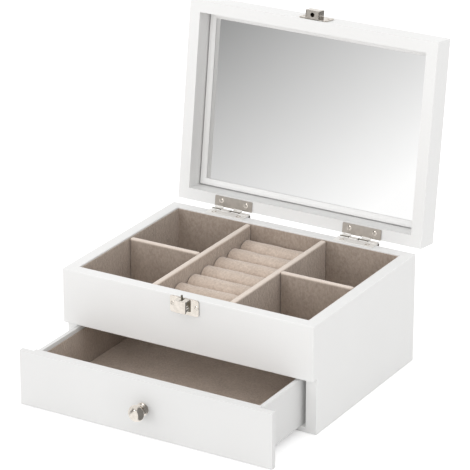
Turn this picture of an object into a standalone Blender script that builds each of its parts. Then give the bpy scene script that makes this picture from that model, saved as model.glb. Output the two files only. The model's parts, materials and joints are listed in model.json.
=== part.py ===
"""Jewelry box: a painted wooden case with a mirrored lid, a lined tray and a drawer.

Run it with blender --background --python part.py, or from the text editor.
Metres, +Z up. X runs across the box, +Y to the back. The origin is at the centre of the base.
The lid is modelled closed and its pivot empty opens it; the drawer is modelled shut and its
empty pulls it out. Every other size follows from the values below.
"""
import math

import bmesh
import bpy
from mathutils import Matrix, Vector

# Case
BOX_WIDTH = 0.230
BOX_DEPTH = 0.1705
BOX_HEIGHT = 0.0944
SIDE_THICKNESS = 0.010
BACK_THICKNESS = 0.0093
FRONT_OVERLAY = 0.006          # part of the front panel that covers the ends of the sides
FRONT_INSET = 0.0042           # part of the front panel between the sides
BASE_THICKNESS = 0.0048
DRAWER_BAY_HEIGHT = 0.0476     # underside of the upper front panel
TRAY_FLOOR_THICKNESS = 0.003
TRAY_FLOOR_RISE = 0.0007       # tray floor underside above the front panel's underside
PANEL_BEVEL = 0.0007
FIT_GAP = 0.0002               # glued or seated faces
WOOD_GAP = 0.0003

# Tray
LINING = 0.001
LINING_DROP = 0.001            # lining and dividers stop this far below the rim
DIVIDER = 0.0052
LONG_DIVIDER_X = 0.0357
CROSS_DIVIDER_Y = -0.0002
ROLL_COUNT = 7
ROLL_TOP_DROP = 0.0112         # top of a ring roll below the rim
ROLL_GAP = 0.0005
ROLL_SIDE = 0.0015             # straight part under the round of a roll

# Lid
LID_OVERHANG = 0.0005
LID_GAP = 0.0021
LID_THICKNESS = 0.0218
LID_PANEL = 0.0025
LID_RAIL = 0.0100
LID_OPEN_DEG = 97.3
MIRROR_THICKNESS = 0.0013
BEAD_WIDTH = 0.0056
BEAD_HEIGHT = 0.0018
BEAD_GROOVE = 0.0010           # between the bead and the rails

# Hinges
HINGE_X = 0.061
HINGE_WIDTH = 0.036
HINGE_KNUCKLES = 4
HINGE_PIN_BACK = 0.0038        # pin axis behind the case's back
HINGE_PIN_DROP = 0.0016        # pin axis below the rim
HINGE_PIN_RADIUS = 0.0011
HINGE_BORE_CLEARANCE = 0.00006
LEAF_THICKNESS = 0.0008
KNUCKLE_GAP = 0.00015
LEAF_EDGE_INSET = 0.0008       # leaf edge behind the rim's inner edge
HINGE_SCREW_SPACING = 0.0235
HINGE_SCREW_BACK = 0.0045      # screw axis in front of the case's back

# Screws
SCREW_HEAD_RADIUS = 0.0021
SCREW_HEAD_HEIGHT = 0.0007
SCREW_SHANK_RADIUS = 0.0009
SCREW_LENGTH = 0.0075
SCREW_HOLE_CLEARANCE = 0.0002

# Catch
CATCH_PLATE_WIDTH = 0.0265
CATCH_PLATE_HEIGHT = 0.014
CATCH_PLATE_THICKNESS = 0.0008
CATCH_PLATE_CORNER = 0.002
CATCH_DROP = 0.0004            # plate edge below the rim
CATCH_SCREW_SPACING = 0.0215
LEVER_WIDTH = 0.0105
LEVER_HEIGHT = 0.0102
LEVER_STAND_OFF = 0.0071       # lever's front face in front of the plate
LEVER_WALL = 0.001
LEVER_PIVOT_STAND_OFF = 0.0029
LEVER_PIVOT_RISE = 0.0025      # pivot above the lever's lower edge
LEVER_PIN_RADIUS = 0.0007
NIB_WIDTH = 0.0014
NIB_HEIGHT = 0.0041
KEEPER_WIDTH = 0.0128
KEEPER_STAND_OFF = 0.0068
KEEPER_HEIGHT = 0.0085
KEEPER_WALL = 0.001
KEEPER_RISE = 0.0006           # keeper's shelf above the lid's rim face
KEEPER_PLATE_RISE = 0.0014
KEEPER_HOLE_RADIUS = 0.0018
EAR_THICKNESS = 0.0008
EAR_CLEARANCE = 0.0004

# Drawer
DRAWER_PULLED = 0.0629
DRAWER_FRONT_THICKNESS = 0.0048
DRAWER_FRONT_TOP_GAP = 0.0003
DRAWER_FRONT_FLOOR_GAP = 0.0003
DRAWER_WALL = 0.0035
DRAWER_SIDE_CLEARANCE = 0.0022  # between a centred drawer box and a case side
DRAWER_BOX_SHIFT = -0.0018     # the box is glued off centre, towards the left side
DRAWER_SIDE_TOP = 0.0453
DRAWER_LINING_DROP = 0.003     # the lining stops this far below the drawer's sides
DRAWER_BACK_CLEARANCE = 0.004
DRAWER_RUN_GAP = 0.0004        # between the drawer box and the base
DRAWER_FLOOR_RISE = 0.001
DRAWER_FLOOR_THICKNESS = 0.0025

# Knob
KNOB_HEAD_RADIUS = 0.0069
KNOB_HEAD_LENGTH = 0.0085
KNOB_NECK_RADIUS = 0.0030
KNOB_NECK_LENGTH = 0.0022
KNOB_BASE_RADIUS = 0.0054
KNOB_BASE_LENGTH = 0.0032
KNOB_SCREW_RADIUS = 0.0013
KNOB_SCREW_HEAD_RADIUS = 0.0028
KNOB_SCREW_HEAD_HEIGHT = 0.0014
KNOB_SCREW_BITE = 0.005

ROUND_STEPS = 24
SCREW_STEPS = 12

# Places worked out from the sizes above
HALF_WIDTH = BOX_WIDTH / 2
FRONT_Y = -BOX_DEPTH / 2
BACK_Y = BOX_DEPTH / 2
SIDE_INNER_X = HALF_WIDTH - SIDE_THICKNESS
BACK_INNER_Y = BACK_Y - BACK_THICKNESS
FRONT_INNER_Y = FRONT_Y + FRONT_OVERLAY + FRONT_INSET
TRAY_FLOOR_Z = DRAWER_BAY_HEIGHT + TRAY_FLOOR_RISE
TRAY_TOP_Z = TRAY_FLOOR_Z + TRAY_FLOOR_THICKNESS
LINED_FLOOR_Z = TRAY_TOP_Z + FIT_GAP + LINING
LINING_TOP_Z = BOX_HEIGHT - LINING_DROP
LINED_X = SIDE_INNER_X - FIT_GAP - LINING
LINED_FRONT_Y = FRONT_INNER_Y + FIT_GAP + LINING
LINED_BACK_Y = BACK_INNER_Y - FIT_GAP - LINING
PIN_Y = BACK_Y + HINGE_PIN_BACK
PIN_Z = BOX_HEIGHT - HINGE_PIN_DROP
LID_Z = BOX_HEIGHT + LID_GAP
LID_TOP_Z = LID_Z + LID_THICKNESS
LID_X = HALF_WIDTH + LID_OVERHANG
LID_FRONT_Y = FRONT_Y - LID_OVERHANG
LID_BACK_Y = BACK_Y + LID_OVERHANG
CATCH_PLATE_Z = BOX_HEIGHT - CATCH_DROP - CATCH_PLATE_HEIGHT / 2
CATCH_PLATE_Y = FRONT_Y - FIT_GAP - CATCH_PLATE_THICKNESS
LEVER_TOP_Z = BOX_HEIGHT - CATCH_DROP * 2
LEVER_PIN_Y = CATCH_PLATE_Y - LEVER_PIVOT_STAND_OFF
LEVER_PIN_Z = LEVER_TOP_Z - LEVER_HEIGHT + LEVER_PIVOT_RISE
DRAWER_LEFT_X = DRAWER_SIDE_CLEARANCE - SIDE_INNER_X + DRAWER_BOX_SHIFT
DRAWER_RIGHT_X = SIDE_INNER_X - DRAWER_SIDE_CLEARANCE + DRAWER_BOX_SHIFT
DRAWER_BASE_Z = BASE_THICKNESS + DRAWER_RUN_GAP
DRAWER_FRONT_TOP_Z = DRAWER_BAY_HEIGHT - DRAWER_FRONT_TOP_GAP
DRAWER_BOX_Y = FRONT_Y + DRAWER_FRONT_THICKNESS + FIT_GAP
DRAWER_BACK_Y = BACK_INNER_Y - DRAWER_BACK_CLEARANCE
DRAWER_FLOOR_Z = DRAWER_BASE_Z + DRAWER_FLOOR_RISE
KNOB_Z = (DRAWER_FRONT_TOP_Z + DRAWER_FRONT_FLOOR_GAP) / 2

# Colour, roughness and metallic value of each finish
FINISHES = {
    "paint": ((0.86, 0.86, 0.85, 1.0), 0.35, 0.0),
    "velvet": ((0.50, 0.42, 0.36, 1.0), 0.95, 0.0),
    "nickel": ((0.74, 0.70, 0.65, 1.0), 0.25, 1.0),
    "mirror": ((0.90, 0.91, 0.91, 1.0), 0.02, 1.0),
}


def make_collection(name):
    """Adds an empty collection to the scene."""
    collection = bpy.data.collections.new(name)
    bpy.context.scene.collection.children.link(collection)
    return collection


def finish_object(obj, name, finish, parent=None):
    """Names a part, gives it its own material and hangs it on its joint's empty."""
    for collection in list(obj.users_collection):
        collection.objects.unlink(obj)
    PARTS.objects.link(obj)
    obj.name = name
    obj.data.name = name
    colour, roughness, metallic = FINISHES[finish]
    material = bpy.data.materials.new(name + "_" + finish)
    material.use_nodes = True
    shader = material.node_tree.nodes["Principled BSDF"]
    shader.inputs["Base Color"].default_value = colour
    shader.inputs["Roughness"].default_value = roughness
    shader.inputs["Metallic"].default_value = metallic
    obj.data.materials.clear()
    obj.data.materials.append(material)
    if parent is not None:
        obj.parent = parent
        obj.location = obj.location - PIVOTS[parent.name]
    return obj


def raw_box(low, high):
    """A plain box between two corners, with its origin at its centre."""
    low, high = Vector(low), Vector(high)
    bpy.ops.mesh.primitive_cube_add(size=1, location=(low + high) / 2)
    obj = bpy.context.active_object
    obj.data.transform(Matrix.Diagonal((*(high - low), 1)))
    return obj


def raw_cylinder(centre, radius, length, axis="Z", steps=ROUND_STEPS):
    """A closed cylinder about a world axis, with its origin at its centre."""
    turn = {"X": (0, math.pi / 2, 0), "Y": (math.pi / 2, 0, 0), "Z": (0, 0, 0)}[axis]
    bpy.ops.mesh.primitive_cylinder_add(vertices=steps, radius=radius, depth=length,
                                        location=centre, rotation=turn)
    return bpy.context.active_object


def raw_cone(centre, low_radius, high_radius, length, axis="Z", steps=ROUND_STEPS):
    """A closed cone frustum: low_radius is at the lower end of its axis."""
    turn = {"Y": (-math.pi / 2, 0, 0), "Z": (0, 0, 0)}[axis]
    bpy.ops.mesh.primitive_cone_add(vertices=steps, radius1=low_radius, radius2=high_radius,
                                    depth=length, location=centre, rotation=turn)
    return bpy.context.active_object


def boolean(obj, other, operation):
    """Adds an exact Boolean and keeps the other shape as a hidden cutter."""
    for collection in list(other.users_collection):
        collection.objects.unlink(other)
    CUTTERS.objects.link(other)
    other.hide_render = True
    other.display_type = "WIRE"
    modifier = obj.modifiers.new(operation.lower(), "BOOLEAN")
    modifier.operation = operation
    modifier.solver = "EXACT"
    modifier.object = other


def apply_modifiers(obj):
    """Bakes the modifiers into the mesh, so that cutters stay where the part was modelled."""
    bpy.context.view_layer.update()
    graph = bpy.context.evaluated_depsgraph_get()
    mesh = bpy.data.meshes.new_from_object(obj.evaluated_get(graph))
    obj.modifiers.clear()
    obj.data = mesh


def bevel(obj, width, segments=1):
    """Rounds every edge that turns by more than 30 degrees."""
    modifier = obj.modifiers.new("edge", "BEVEL")
    modifier.width = width
    modifier.segments = segments
    modifier.limit_method = "ANGLE"


def smooth(obj):
    """Shades a round piece smooth and keeps its real edges sharp."""
    obj.data.shade_smooth()
    obj.data.set_sharp_from_angle(angle=math.radians(35))


def panel(name, low, high, finish="paint", parent=None, holes=(), edge=PANEL_BEVEL):
    """A flat board with eased edges and any screw holes, given as cutter shapes."""
    obj = raw_box(low, high)
    if edge:
        bevel(obj, edge)
    for hole in holes:
        boolean(obj, hole, "DIFFERENCE")
    if holes:
        apply_modifiers(obj)
    return finish_object(obj, name, finish, parent)


def round_corners(obj, radius, axis, segments=3):
    """Rounds the four edges of a box that run along one axis."""
    mesh = bmesh.new()
    mesh.from_mesh(obj.data)
    corners = [edge for edge in mesh.edges
               if abs((edge.verts[0].co - edge.verts[1].co).normalized()[axis]) > 0.99]
    bmesh.ops.bevel(mesh, geom=corners, offset=radius, segments=segments, affect="EDGES", profile=0.5)
    mesh.to_mesh(obj.data)
    mesh.free()


def turned(profile, steps):
    """A Screw modifier on a profile of (radius, height) points, listed from top to bottom."""
    mesh = bpy.data.meshes.new("profile")
    points = [(radius, 0, height) for radius, height in profile]
    mesh.from_pydata(points, [(i, i + 1) for i in range(len(points) - 1)], [])
    obj = bpy.data.objects.new("profile", mesh)
    PARTS.objects.link(obj)
    modifier = obj.modifiers.new("turn", "SCREW")
    modifier.steps = steps
    modifier.render_steps = steps
    modifier.use_merge_vertices = True
    modifier.merge_threshold = 0.00001
    modifier.use_normal_calculate = False
    return obj


def ring_frame(name, low, high, wall, finish, parent=None, edge=0.0):
    """A four-sided frame, open at top and bottom, with walls of one thickness."""
    obj = raw_box(low, high)
    inner_low = (low[0] + wall, low[1] + wall, low[2] - wall)
    inner_high = (high[0] - wall, high[1] - wall, high[2] + wall)
    boolean(obj, raw_box(inner_low, inner_high), "DIFFERENCE")
    apply_modifiers(obj)
    if edge:
        bevel(obj, edge)
    return finish_object(obj, name, finish, parent)


def screw_profile():
    """A countersunk screw standing on its point, head at height 0."""
    head = SCREW_HEAD_RADIUS
    shank = SCREW_SHANK_RADIUS
    depth = SCREW_HEAD_HEIGHT
    return [(0, 0), (head, 0), (shank, -depth), (shank, -SCREW_LENGTH * 0.8), (0, -SCREW_LENGTH)]


def screw(name, head, direction, parent=None):
    """A screw whose head lies at a point and whose shank runs along a direction."""
    obj = turned(screw_profile(), SCREW_STEPS)
    turn = Vector((0, 0, -1)).rotation_difference(Vector(direction))
    obj.location = head
    obj.rotation_mode = "QUATERNION"
    obj.rotation_quaternion = turn
    smooth(obj)
    return finish_object(obj, name, "nickel", parent)


def sink_cutter(head, direction, thickness):
    """The countersunk hole that a screw needs in a plate of this thickness."""
    way = Vector(direction)
    reach = thickness + 2 * FIT_GAP
    grow = SCREW_HOLE_CLEARANCE
    wide, narrow = SCREW_HEAD_RADIUS + grow, SCREW_SHANK_RADIUS + grow
    centre = Vector(head) + way * (reach / 2 - FIT_GAP)
    axis = "Y" if abs(way.y) > 0.5 else "Z"
    if way[1 if axis == "Y" else 2] > 0:
        return raw_cone(centre, wide, narrow, reach, axis)
    return raw_cone(centre, narrow, wide, reach, axis)


def pilot_cutter(head, direction):
    """The pilot hole that a screw needs in the wood under its plate."""
    way = Vector(direction)
    length = SCREW_LENGTH + 2 * SCREW_HOLE_CLEARANCE
    axis = "Y" if abs(way.y) > 0.5 else "Z"
    return raw_cylinder(Vector(head) + way * (length / 2), SCREW_SHANK_RADIUS + SCREW_HOLE_CLEARANCE,
                        length, axis, SCREW_STEPS)


def hinge_screw_points(centre_x, head_z):
    """The two screw heads of one leaf."""
    return [(centre_x + side * HINGE_SCREW_SPACING / 2, BACK_Y - HINGE_SCREW_BACK, head_z)
            for side in (-1, 1)]


def catch_screw_points(y, z):
    """The two screw heads of one catch plate."""
    return [(side * CATCH_SCREW_SPACING / 2, y, z) for side in (-1, 1)]


BOX_LEAF_Z = BOX_HEIGHT + FIT_GAP + LEAF_THICKNESS
LID_LEAF_Z = LID_Z - FIT_GAP - LEAF_THICKNESS
KNUCKLE_RADIUS = BOX_LEAF_Z - PIN_Z
KEEPER_PLATE_Z = LID_Z + KEEPER_PLATE_RISE + CATCH_PLATE_HEIGHT / 2
KEEPER_PLATE_Y = LID_FRONT_Y - FIT_GAP - CATCH_PLATE_THICKNESS
DOWN, UP, BACKWARD = (0, 0, -1), (0, 0, 1), (0, 1, 0)


def build_case():
    """Sides, back, front, base and the tray's floor."""
    side_front = FRONT_Y + FRONT_OVERLAY + WOOD_GAP
    for name, x in (("side_left", -HALF_WIDTH), ("side_right", SIDE_INNER_X)):
        panel(name, (x, side_front, 0), (x + SIDE_THICKNESS, BACK_Y, BOX_HEIGHT))
    inside = SIDE_INNER_X - WOOD_GAP
    pilots = [pilot_cutter(point, DOWN) for x in (-HINGE_X, HINGE_X)
              for point in hinge_screw_points(x, BOX_LEAF_Z)]
    panel("back_panel", (-inside, BACK_INNER_Y, 0), (inside, BACK_Y, BOX_HEIGHT), holes=pilots)
    front = raw_box((-HALF_WIDTH, FRONT_Y, DRAWER_BAY_HEIGHT),
                    (HALF_WIDTH, FRONT_Y + FRONT_OVERLAY, BOX_HEIGHT))
    bevel(front, PANEL_BEVEL)
    boolean(front, raw_box((-inside, FRONT_Y + FRONT_OVERLAY / 2, DRAWER_BAY_HEIGHT + PANEL_BEVEL),
                           (inside, FRONT_INNER_Y, BOX_HEIGHT - PANEL_BEVEL / 2)), "UNION")
    for point in catch_screw_points(CATCH_PLATE_Y, CATCH_PLATE_Z):
        boolean(front, pilot_cutter(point, BACKWARD), "DIFFERENCE")
    apply_modifiers(front)
    finish_object(front, "front_panel", "paint")
    panel("bottom_board", (-inside, side_front, 0), (inside, BACK_INNER_Y - WOOD_GAP, BASE_THICKNESS))
    panel("tray_floor", (-inside, FRONT_INNER_Y + WOOD_GAP, TRAY_FLOOR_Z),
          (inside, BACK_INNER_Y - WOOD_GAP, TRAY_TOP_Z), edge=0)


def build_tray():
    """Velvet linings, dividers and the ring pad."""
    outer_x = SIDE_INNER_X - FIT_GAP
    ring_frame("tray_wall_lining", (-outer_x, FRONT_INNER_Y + FIT_GAP, TRAY_TOP_Z + FIT_GAP),
               (outer_x, BACK_INNER_Y - FIT_GAP, LINING_TOP_Z), LINING, "velvet")
    floor_x = LINED_X - FIT_GAP
    panel("tray_floor_lining", (-floor_x, LINED_FRONT_Y + FIT_GAP, TRAY_TOP_Z + FIT_GAP),
          (floor_x, LINED_BACK_Y - FIT_GAP, LINED_FLOOR_Z), "velvet", edge=0)
    base_z = LINED_FLOOR_Z + FIT_GAP
    for name, x in (("divider_long_left", -LONG_DIVIDER_X), ("divider_long_right", LONG_DIVIDER_X)):
        panel(name, (x - DIVIDER / 2, LINED_FRONT_Y + FIT_GAP, base_z),
              (x + DIVIDER / 2, LINED_BACK_Y - FIT_GAP, LINING_TOP_Z), "velvet")
    near = LONG_DIVIDER_X + DIVIDER / 2 + FIT_GAP
    for name, side in (("divider_cross_left", -1), ("divider_cross_right", 1)):
        ends = sorted((side * near, side * floor_x))
        panel(name, (ends[0], CROSS_DIVIDER_Y - DIVIDER / 2, base_z),
              (ends[1], CROSS_DIVIDER_Y + DIVIDER / 2, LINING_TOP_Z), "velvet")
    build_ring_pad(base_z, LONG_DIVIDER_X - DIVIDER / 2 - ROLL_GAP)


def build_ring_pad(base_z, half_width):
    """A foam base and half-round rolls that fill the middle bay from back to front."""
    front_y, back_y = LINED_FRONT_Y + ROLL_GAP, LINED_BACK_Y - ROLL_GAP
    pitch = (back_y - front_y) / ROLL_COUNT
    radius = (pitch - ROLL_GAP) / 2
    seat_z = BOX_HEIGHT - ROLL_TOP_DROP - radius - ROLL_SIDE
    panel("ring_pad_base", (-half_width, front_y, base_z), (half_width, back_y, seat_z - FIT_GAP),
          "velvet")
    for index in range(ROLL_COUNT):
        y = back_y - pitch * (index + 0.5)
        half_round(f"ring_roll_{index + 1}", half_width, y, seat_z, radius)


def half_round(name, half_width, y, seat_z, radius):
    """One roll: a flat-bottomed half cylinder along X."""
    arc = [(math.cos(math.pi * i / 12) * radius, math.sin(math.pi * i / 12) * radius + ROLL_SIDE)
           for i in range(13)]
    outline = [(-radius, 0), (radius, 0)] + arc
    curve = bpy.data.curves.new(name, "CURVE")
    curve.dimensions = "2D"
    curve.fill_mode = "BOTH"
    curve.extrude = half_width
    spline = curve.splines.new("POLY")
    spline.points.add(len(outline) - 1)
    for point, (across, up) in zip(spline.points, outline):
        point.co = (across, up, 0, 1)
    spline.use_cyclic_u = True
    source = bpy.data.objects.new(name + "_outline", curve)
    bpy.context.scene.collection.objects.link(source)
    bpy.context.view_layer.update()
    graph = bpy.context.evaluated_depsgraph_get()
    mesh = bpy.data.meshes.new_from_object(source.evaluated_get(graph))
    bpy.data.objects.remove(source)
    weld = bmesh.new()
    weld.from_mesh(mesh)
    bmesh.ops.remove_doubles(weld, verts=weld.verts, dist=0.00001)
    weld.to_mesh(mesh)
    weld.free()
    # The outline's across becomes +Y, its up becomes +Z and its thickness lies along X.
    mesh.transform(Matrix(((0, 0, 1, 0), (1, 0, 0, 0), (0, 1, 0, 0), (0, 0, 0, 1))))
    obj = bpy.data.objects.new(name, mesh)
    bpy.context.scene.collection.objects.link(obj)
    obj.location = (0, y, seat_z)
    smooth(obj)
    finish_object(obj, name, "velvet")


def knuckle_spans(centre_x, owner):
    """The stretches along X of the knuckles that belong to one leaf (0 lid, 1 box)."""
    length = HINGE_WIDTH / HINGE_KNUCKLES
    start = centre_x - HINGE_WIDTH / 2
    return [(start + i * length, start + (i + 1) * length) for i in range(HINGE_KNUCKLES)
            if i % 2 == owner]


def hinge_leaf(name, centre_x, owner, parent=None):
    """A leaf plate with two knuckles and two countersunk holes; owner 0 is the lid's, 1 the box's."""
    low_z = LID_LEAF_Z if owner == 0 else BOX_HEIGHT + FIT_GAP
    high_z = low_z + LEAF_THICKNESS
    front_y = BACK_INNER_Y + LEAF_EDGE_INSET
    relief_y = PIN_Y - KNUCKLE_RADIUS - FIT_GAP * 2
    half = HINGE_WIDTH / 2
    leaf = raw_box((centre_x - half, front_y, low_z), (centre_x + half, relief_y, high_z))
    for start, end in knuckle_spans(centre_x, owner):
        low, high = start + KNUCKLE_GAP, end - KNUCKLE_GAP
        middle = (low + high) / 2
        boolean(leaf, raw_box((low, relief_y - LEAF_THICKNESS, low_z), (high, PIN_Y, high_z)), "UNION")
        boolean(leaf, raw_cylinder((middle, PIN_Y, PIN_Z), KNUCKLE_RADIUS, high - low, "X"), "UNION")
        if owner == 0:
            web = KNUCKLE_RADIUS / 2
            boolean(leaf, raw_box((low, PIN_Y - web, PIN_Z + web), (high, PIN_Y, high_z)), "UNION")
    bore = HINGE_PIN_RADIUS + HINGE_BORE_CLEARANCE
    boolean(leaf, raw_cylinder((centre_x, PIN_Y, PIN_Z), bore, HINGE_WIDTH * 1.2, "X"), "DIFFERENCE")
    direction = UP if owner == 0 else DOWN
    head_z = low_z if owner == 0 else high_z
    for point in hinge_screw_points(centre_x, head_z):
        boolean(leaf, sink_cutter(point, direction, LEAF_THICKNESS), "DIFFERENCE")
    apply_modifiers(leaf)
    smooth(leaf)
    finish_object(leaf, name + "_leaf", "nickel", parent)
    for number, point in enumerate(hinge_screw_points(centre_x, head_z), 1):
        screw(f"{name}_screw_{number}", point, direction, parent)


def build_hinges(lid):
    """Two butt hinges: a leaf on the case's rim, a leaf on the lid and the pin through both."""
    for side, x in (("left", -HINGE_X), ("right", HINGE_X)):
        hinge_leaf(f"hinge_{side}_box", x, 1)
        hinge_leaf(f"hinge_{side}_lid", x, 0, lid)
        pin = raw_cylinder((x, PIN_Y, PIN_Z), HINGE_PIN_RADIUS, HINGE_WIDTH, "X")
        smooth(pin)
        finish_object(pin, f"hinge_{side}_pin", "nickel")


def build_lid(lid):
    """Four rails, the top panel, the mirror and its bead, all in the closed pose."""
    rail_top = LID_TOP_Z - LID_PANEL - WOOD_GAP
    inner_x = LID_X - LID_RAIL
    inner_front, inner_back = LID_FRONT_Y + LID_RAIL, LID_BACK_Y - LID_RAIL
    front_pilots = [pilot_cutter(point, BACKWARD)
                    for point in catch_screw_points(KEEPER_PLATE_Y, KEEPER_PLATE_Z)]
    back_pilots = [pilot_cutter(point, UP) for x in (-HINGE_X, HINGE_X)
                   for point in hinge_screw_points(x, LID_LEAF_Z)]
    panel("lid_rail_front", (-LID_X, LID_FRONT_Y, LID_Z), (LID_X, inner_front, rail_top),
          parent=lid, holes=front_pilots)
    panel("lid_rail_back", (-LID_X, inner_back, LID_Z), (LID_X, LID_BACK_Y, rail_top),
          parent=lid, holes=back_pilots)
    for name, x in (("lid_rail_left", -LID_X), ("lid_rail_right", inner_x)):
        panel(name, (x, inner_front + WOOD_GAP, LID_Z), (x + LID_RAIL, inner_back - WOOD_GAP, rail_top),
              parent=lid)
    panel("lid_panel", (-LID_X, LID_FRONT_Y, LID_TOP_Z - LID_PANEL), (LID_X, LID_BACK_Y, LID_TOP_Z),
          parent=lid)
    mirror_x, mirror_front, mirror_back = inner_x - WOOD_GAP, inner_front + WOOD_GAP, inner_back - WOOD_GAP
    mirror_top = LID_TOP_Z - LID_PANEL - FIT_GAP
    mirror_z = mirror_top - MIRROR_THICKNESS
    panel("mirror", (-mirror_x, mirror_front, mirror_z), (mirror_x, mirror_back, mirror_top),
          "mirror", lid, edge=0)
    bead_top = mirror_z - FIT_GAP
    bead_x = inner_x - BEAD_GROOVE
    ring_frame("mirror_bead", (-bead_x, inner_front + BEAD_GROOVE, bead_top - BEAD_HEIGHT),
               (bead_x, inner_back - BEAD_GROOVE, bead_top), BEAD_WIDTH, "paint", lid, edge=BEAD_HEIGHT / 4)


def catch_plate(name, y, z, parent=None, extras=()):
    """A rounded plate with two countersunk holes and any shapes joined to it."""
    half = CATCH_PLATE_WIDTH / 2
    rise = CATCH_PLATE_HEIGHT / 2
    plate = raw_box((-half, y, z - rise), (half, y + CATCH_PLATE_THICKNESS, z + rise))
    round_corners(plate, CATCH_PLATE_CORNER, 1)
    for operation, shape in extras:
        boolean(plate, shape, operation)
    for point in catch_screw_points(y, z):
        boolean(plate, sink_cutter(point, BACKWARD, CATCH_PLATE_THICKNESS), "DIFFERENCE")
    apply_modifiers(plate)
    smooth(plate)
    finish_object(plate, name, "nickel", parent)
    for number, point in enumerate(catch_screw_points(y, z), 1):
        screw(f"{name}_screw_{number}", point, BACKWARD, parent)


def build_catch(lever, lid):
    """The plate with its pivot ears, the lever and pin, and the keeper on the lid."""
    inner_x = LEVER_WIDTH / 2 - LEVER_WALL
    ear_reach = LEVER_PIN_RADIUS * 2
    extras = []
    for side in (-1, 1):
        ends = sorted((side * (inner_x - EAR_CLEARANCE),
                       side * (inner_x - EAR_CLEARANCE - EAR_THICKNESS)))
        ear = raw_box((ends[0], LEVER_PIN_Y - ear_reach, LEVER_PIN_Z - ear_reach),
                      (ends[1], CATCH_PLATE_Y + CATCH_PLATE_THICKNESS / 2, LEVER_PIN_Z + ear_reach))
        extras.append(("UNION", ear))
    bore = LEVER_PIN_RADIUS + HINGE_BORE_CLEARANCE
    pivot = (0, LEVER_PIN_Y, LEVER_PIN_Z)
    extras.append(("DIFFERENCE", raw_cylinder(pivot, bore, LEVER_WIDTH, "X", SCREW_STEPS)))
    catch_plate("catch_plate", CATCH_PLATE_Y, CATCH_PLATE_Z, extras=extras)
    pin = raw_cylinder(pivot, LEVER_PIN_RADIUS, LEVER_WIDTH - LEVER_WALL, "X", SCREW_STEPS)
    smooth(pin)
    finish_object(pin, "catch_pin", "nickel")
    build_lever(lever)
    build_keeper(lid)


def build_lever(lever):
    """A square cover that pivots at its lower edge, with a nib on top that enters the keeper."""
    half = LEVER_WIDTH / 2
    front_y = CATCH_PLATE_Y - LEVER_STAND_OFF
    back_y = CATCH_PLATE_Y - WOOD_GAP
    low_z = LEVER_TOP_Z - LEVER_HEIGHT
    shell = raw_box((-half, front_y, low_z), (half, back_y, LEVER_TOP_Z))
    round_corners(shell, LEVER_WALL / 2, 0)
    hollow = raw_box((-half + LEVER_WALL, front_y + LEVER_WALL, low_z - LEVER_WALL),
                     (half - LEVER_WALL, back_y + LEVER_WALL, LEVER_TOP_Z - LEVER_WALL))
    boolean(shell, hollow, "DIFFERENCE")
    # The back lower corner is cut to a round about the pivot, so that it clears the plate.
    swing = LEVER_PIVOT_STAND_OFF - WOOD_GAP * 2
    corner = raw_box((-LEVER_WIDTH, LEVER_PIN_Y, low_z - LEVER_WALL),
                     (LEVER_WIDTH, back_y + LEVER_WALL, LEVER_PIN_Z))
    boolean(corner, raw_cylinder((0, LEVER_PIN_Y, LEVER_PIN_Z), swing, LEVER_WIDTH * 3, "X"), "DIFFERENCE")
    apply_modifiers(corner)
    boolean(shell, corner, "DIFFERENCE")
    nib_y = CATCH_PLATE_Y - KEEPER_STAND_OFF / 2
    nib = raw_box((-NIB_WIDTH / 2, nib_y - NIB_WIDTH / 2, LEVER_TOP_Z - LEVER_WALL / 2),
                  (NIB_WIDTH / 2, nib_y + NIB_WIDTH / 2, LEVER_TOP_Z + NIB_HEIGHT))
    boolean(shell, nib, "UNION")
    bore = LEVER_PIN_RADIUS + HINGE_BORE_CLEARANCE
    hole = raw_cylinder((0, LEVER_PIN_Y, LEVER_PIN_Z), bore, LEVER_WIDTH * 2, "X", SCREW_STEPS)
    boolean(shell, hole, "DIFFERENCE")
    apply_modifiers(shell)
    finish_object(shell, "catch_lever", "nickel", lever)


def build_keeper(lid):
    """A plate on the lid's front with a boxed housing; a hole under it takes the lever's nib."""
    half = KEEPER_WIDTH / 2
    front_y = KEEPER_PLATE_Y - KEEPER_STAND_OFF
    back_y = KEEPER_PLATE_Y + CATCH_PLATE_THICKNESS / 2
    low_z = LID_Z + KEEPER_RISE
    high_z = low_z + KEEPER_HEIGHT
    wall = KEEPER_WALL
    housing = raw_box((-half, front_y, low_z), (half, back_y, high_z))
    hollow = raw_box((-half + wall, front_y + wall, low_z + wall),
                     (half - wall, KEEPER_PLATE_Y, high_z - wall))
    nib_y = CATCH_PLATE_Y - KEEPER_STAND_OFF / 2
    hole = raw_cylinder((0, nib_y, low_z), KEEPER_HOLE_RADIUS, wall * 4, "Z")
    extras = [("UNION", housing), ("DIFFERENCE", hollow), ("DIFFERENCE", hole)]
    catch_plate("catch_keeper", KEEPER_PLATE_Y, KEEPER_PLATE_Z, lid, extras)


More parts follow.
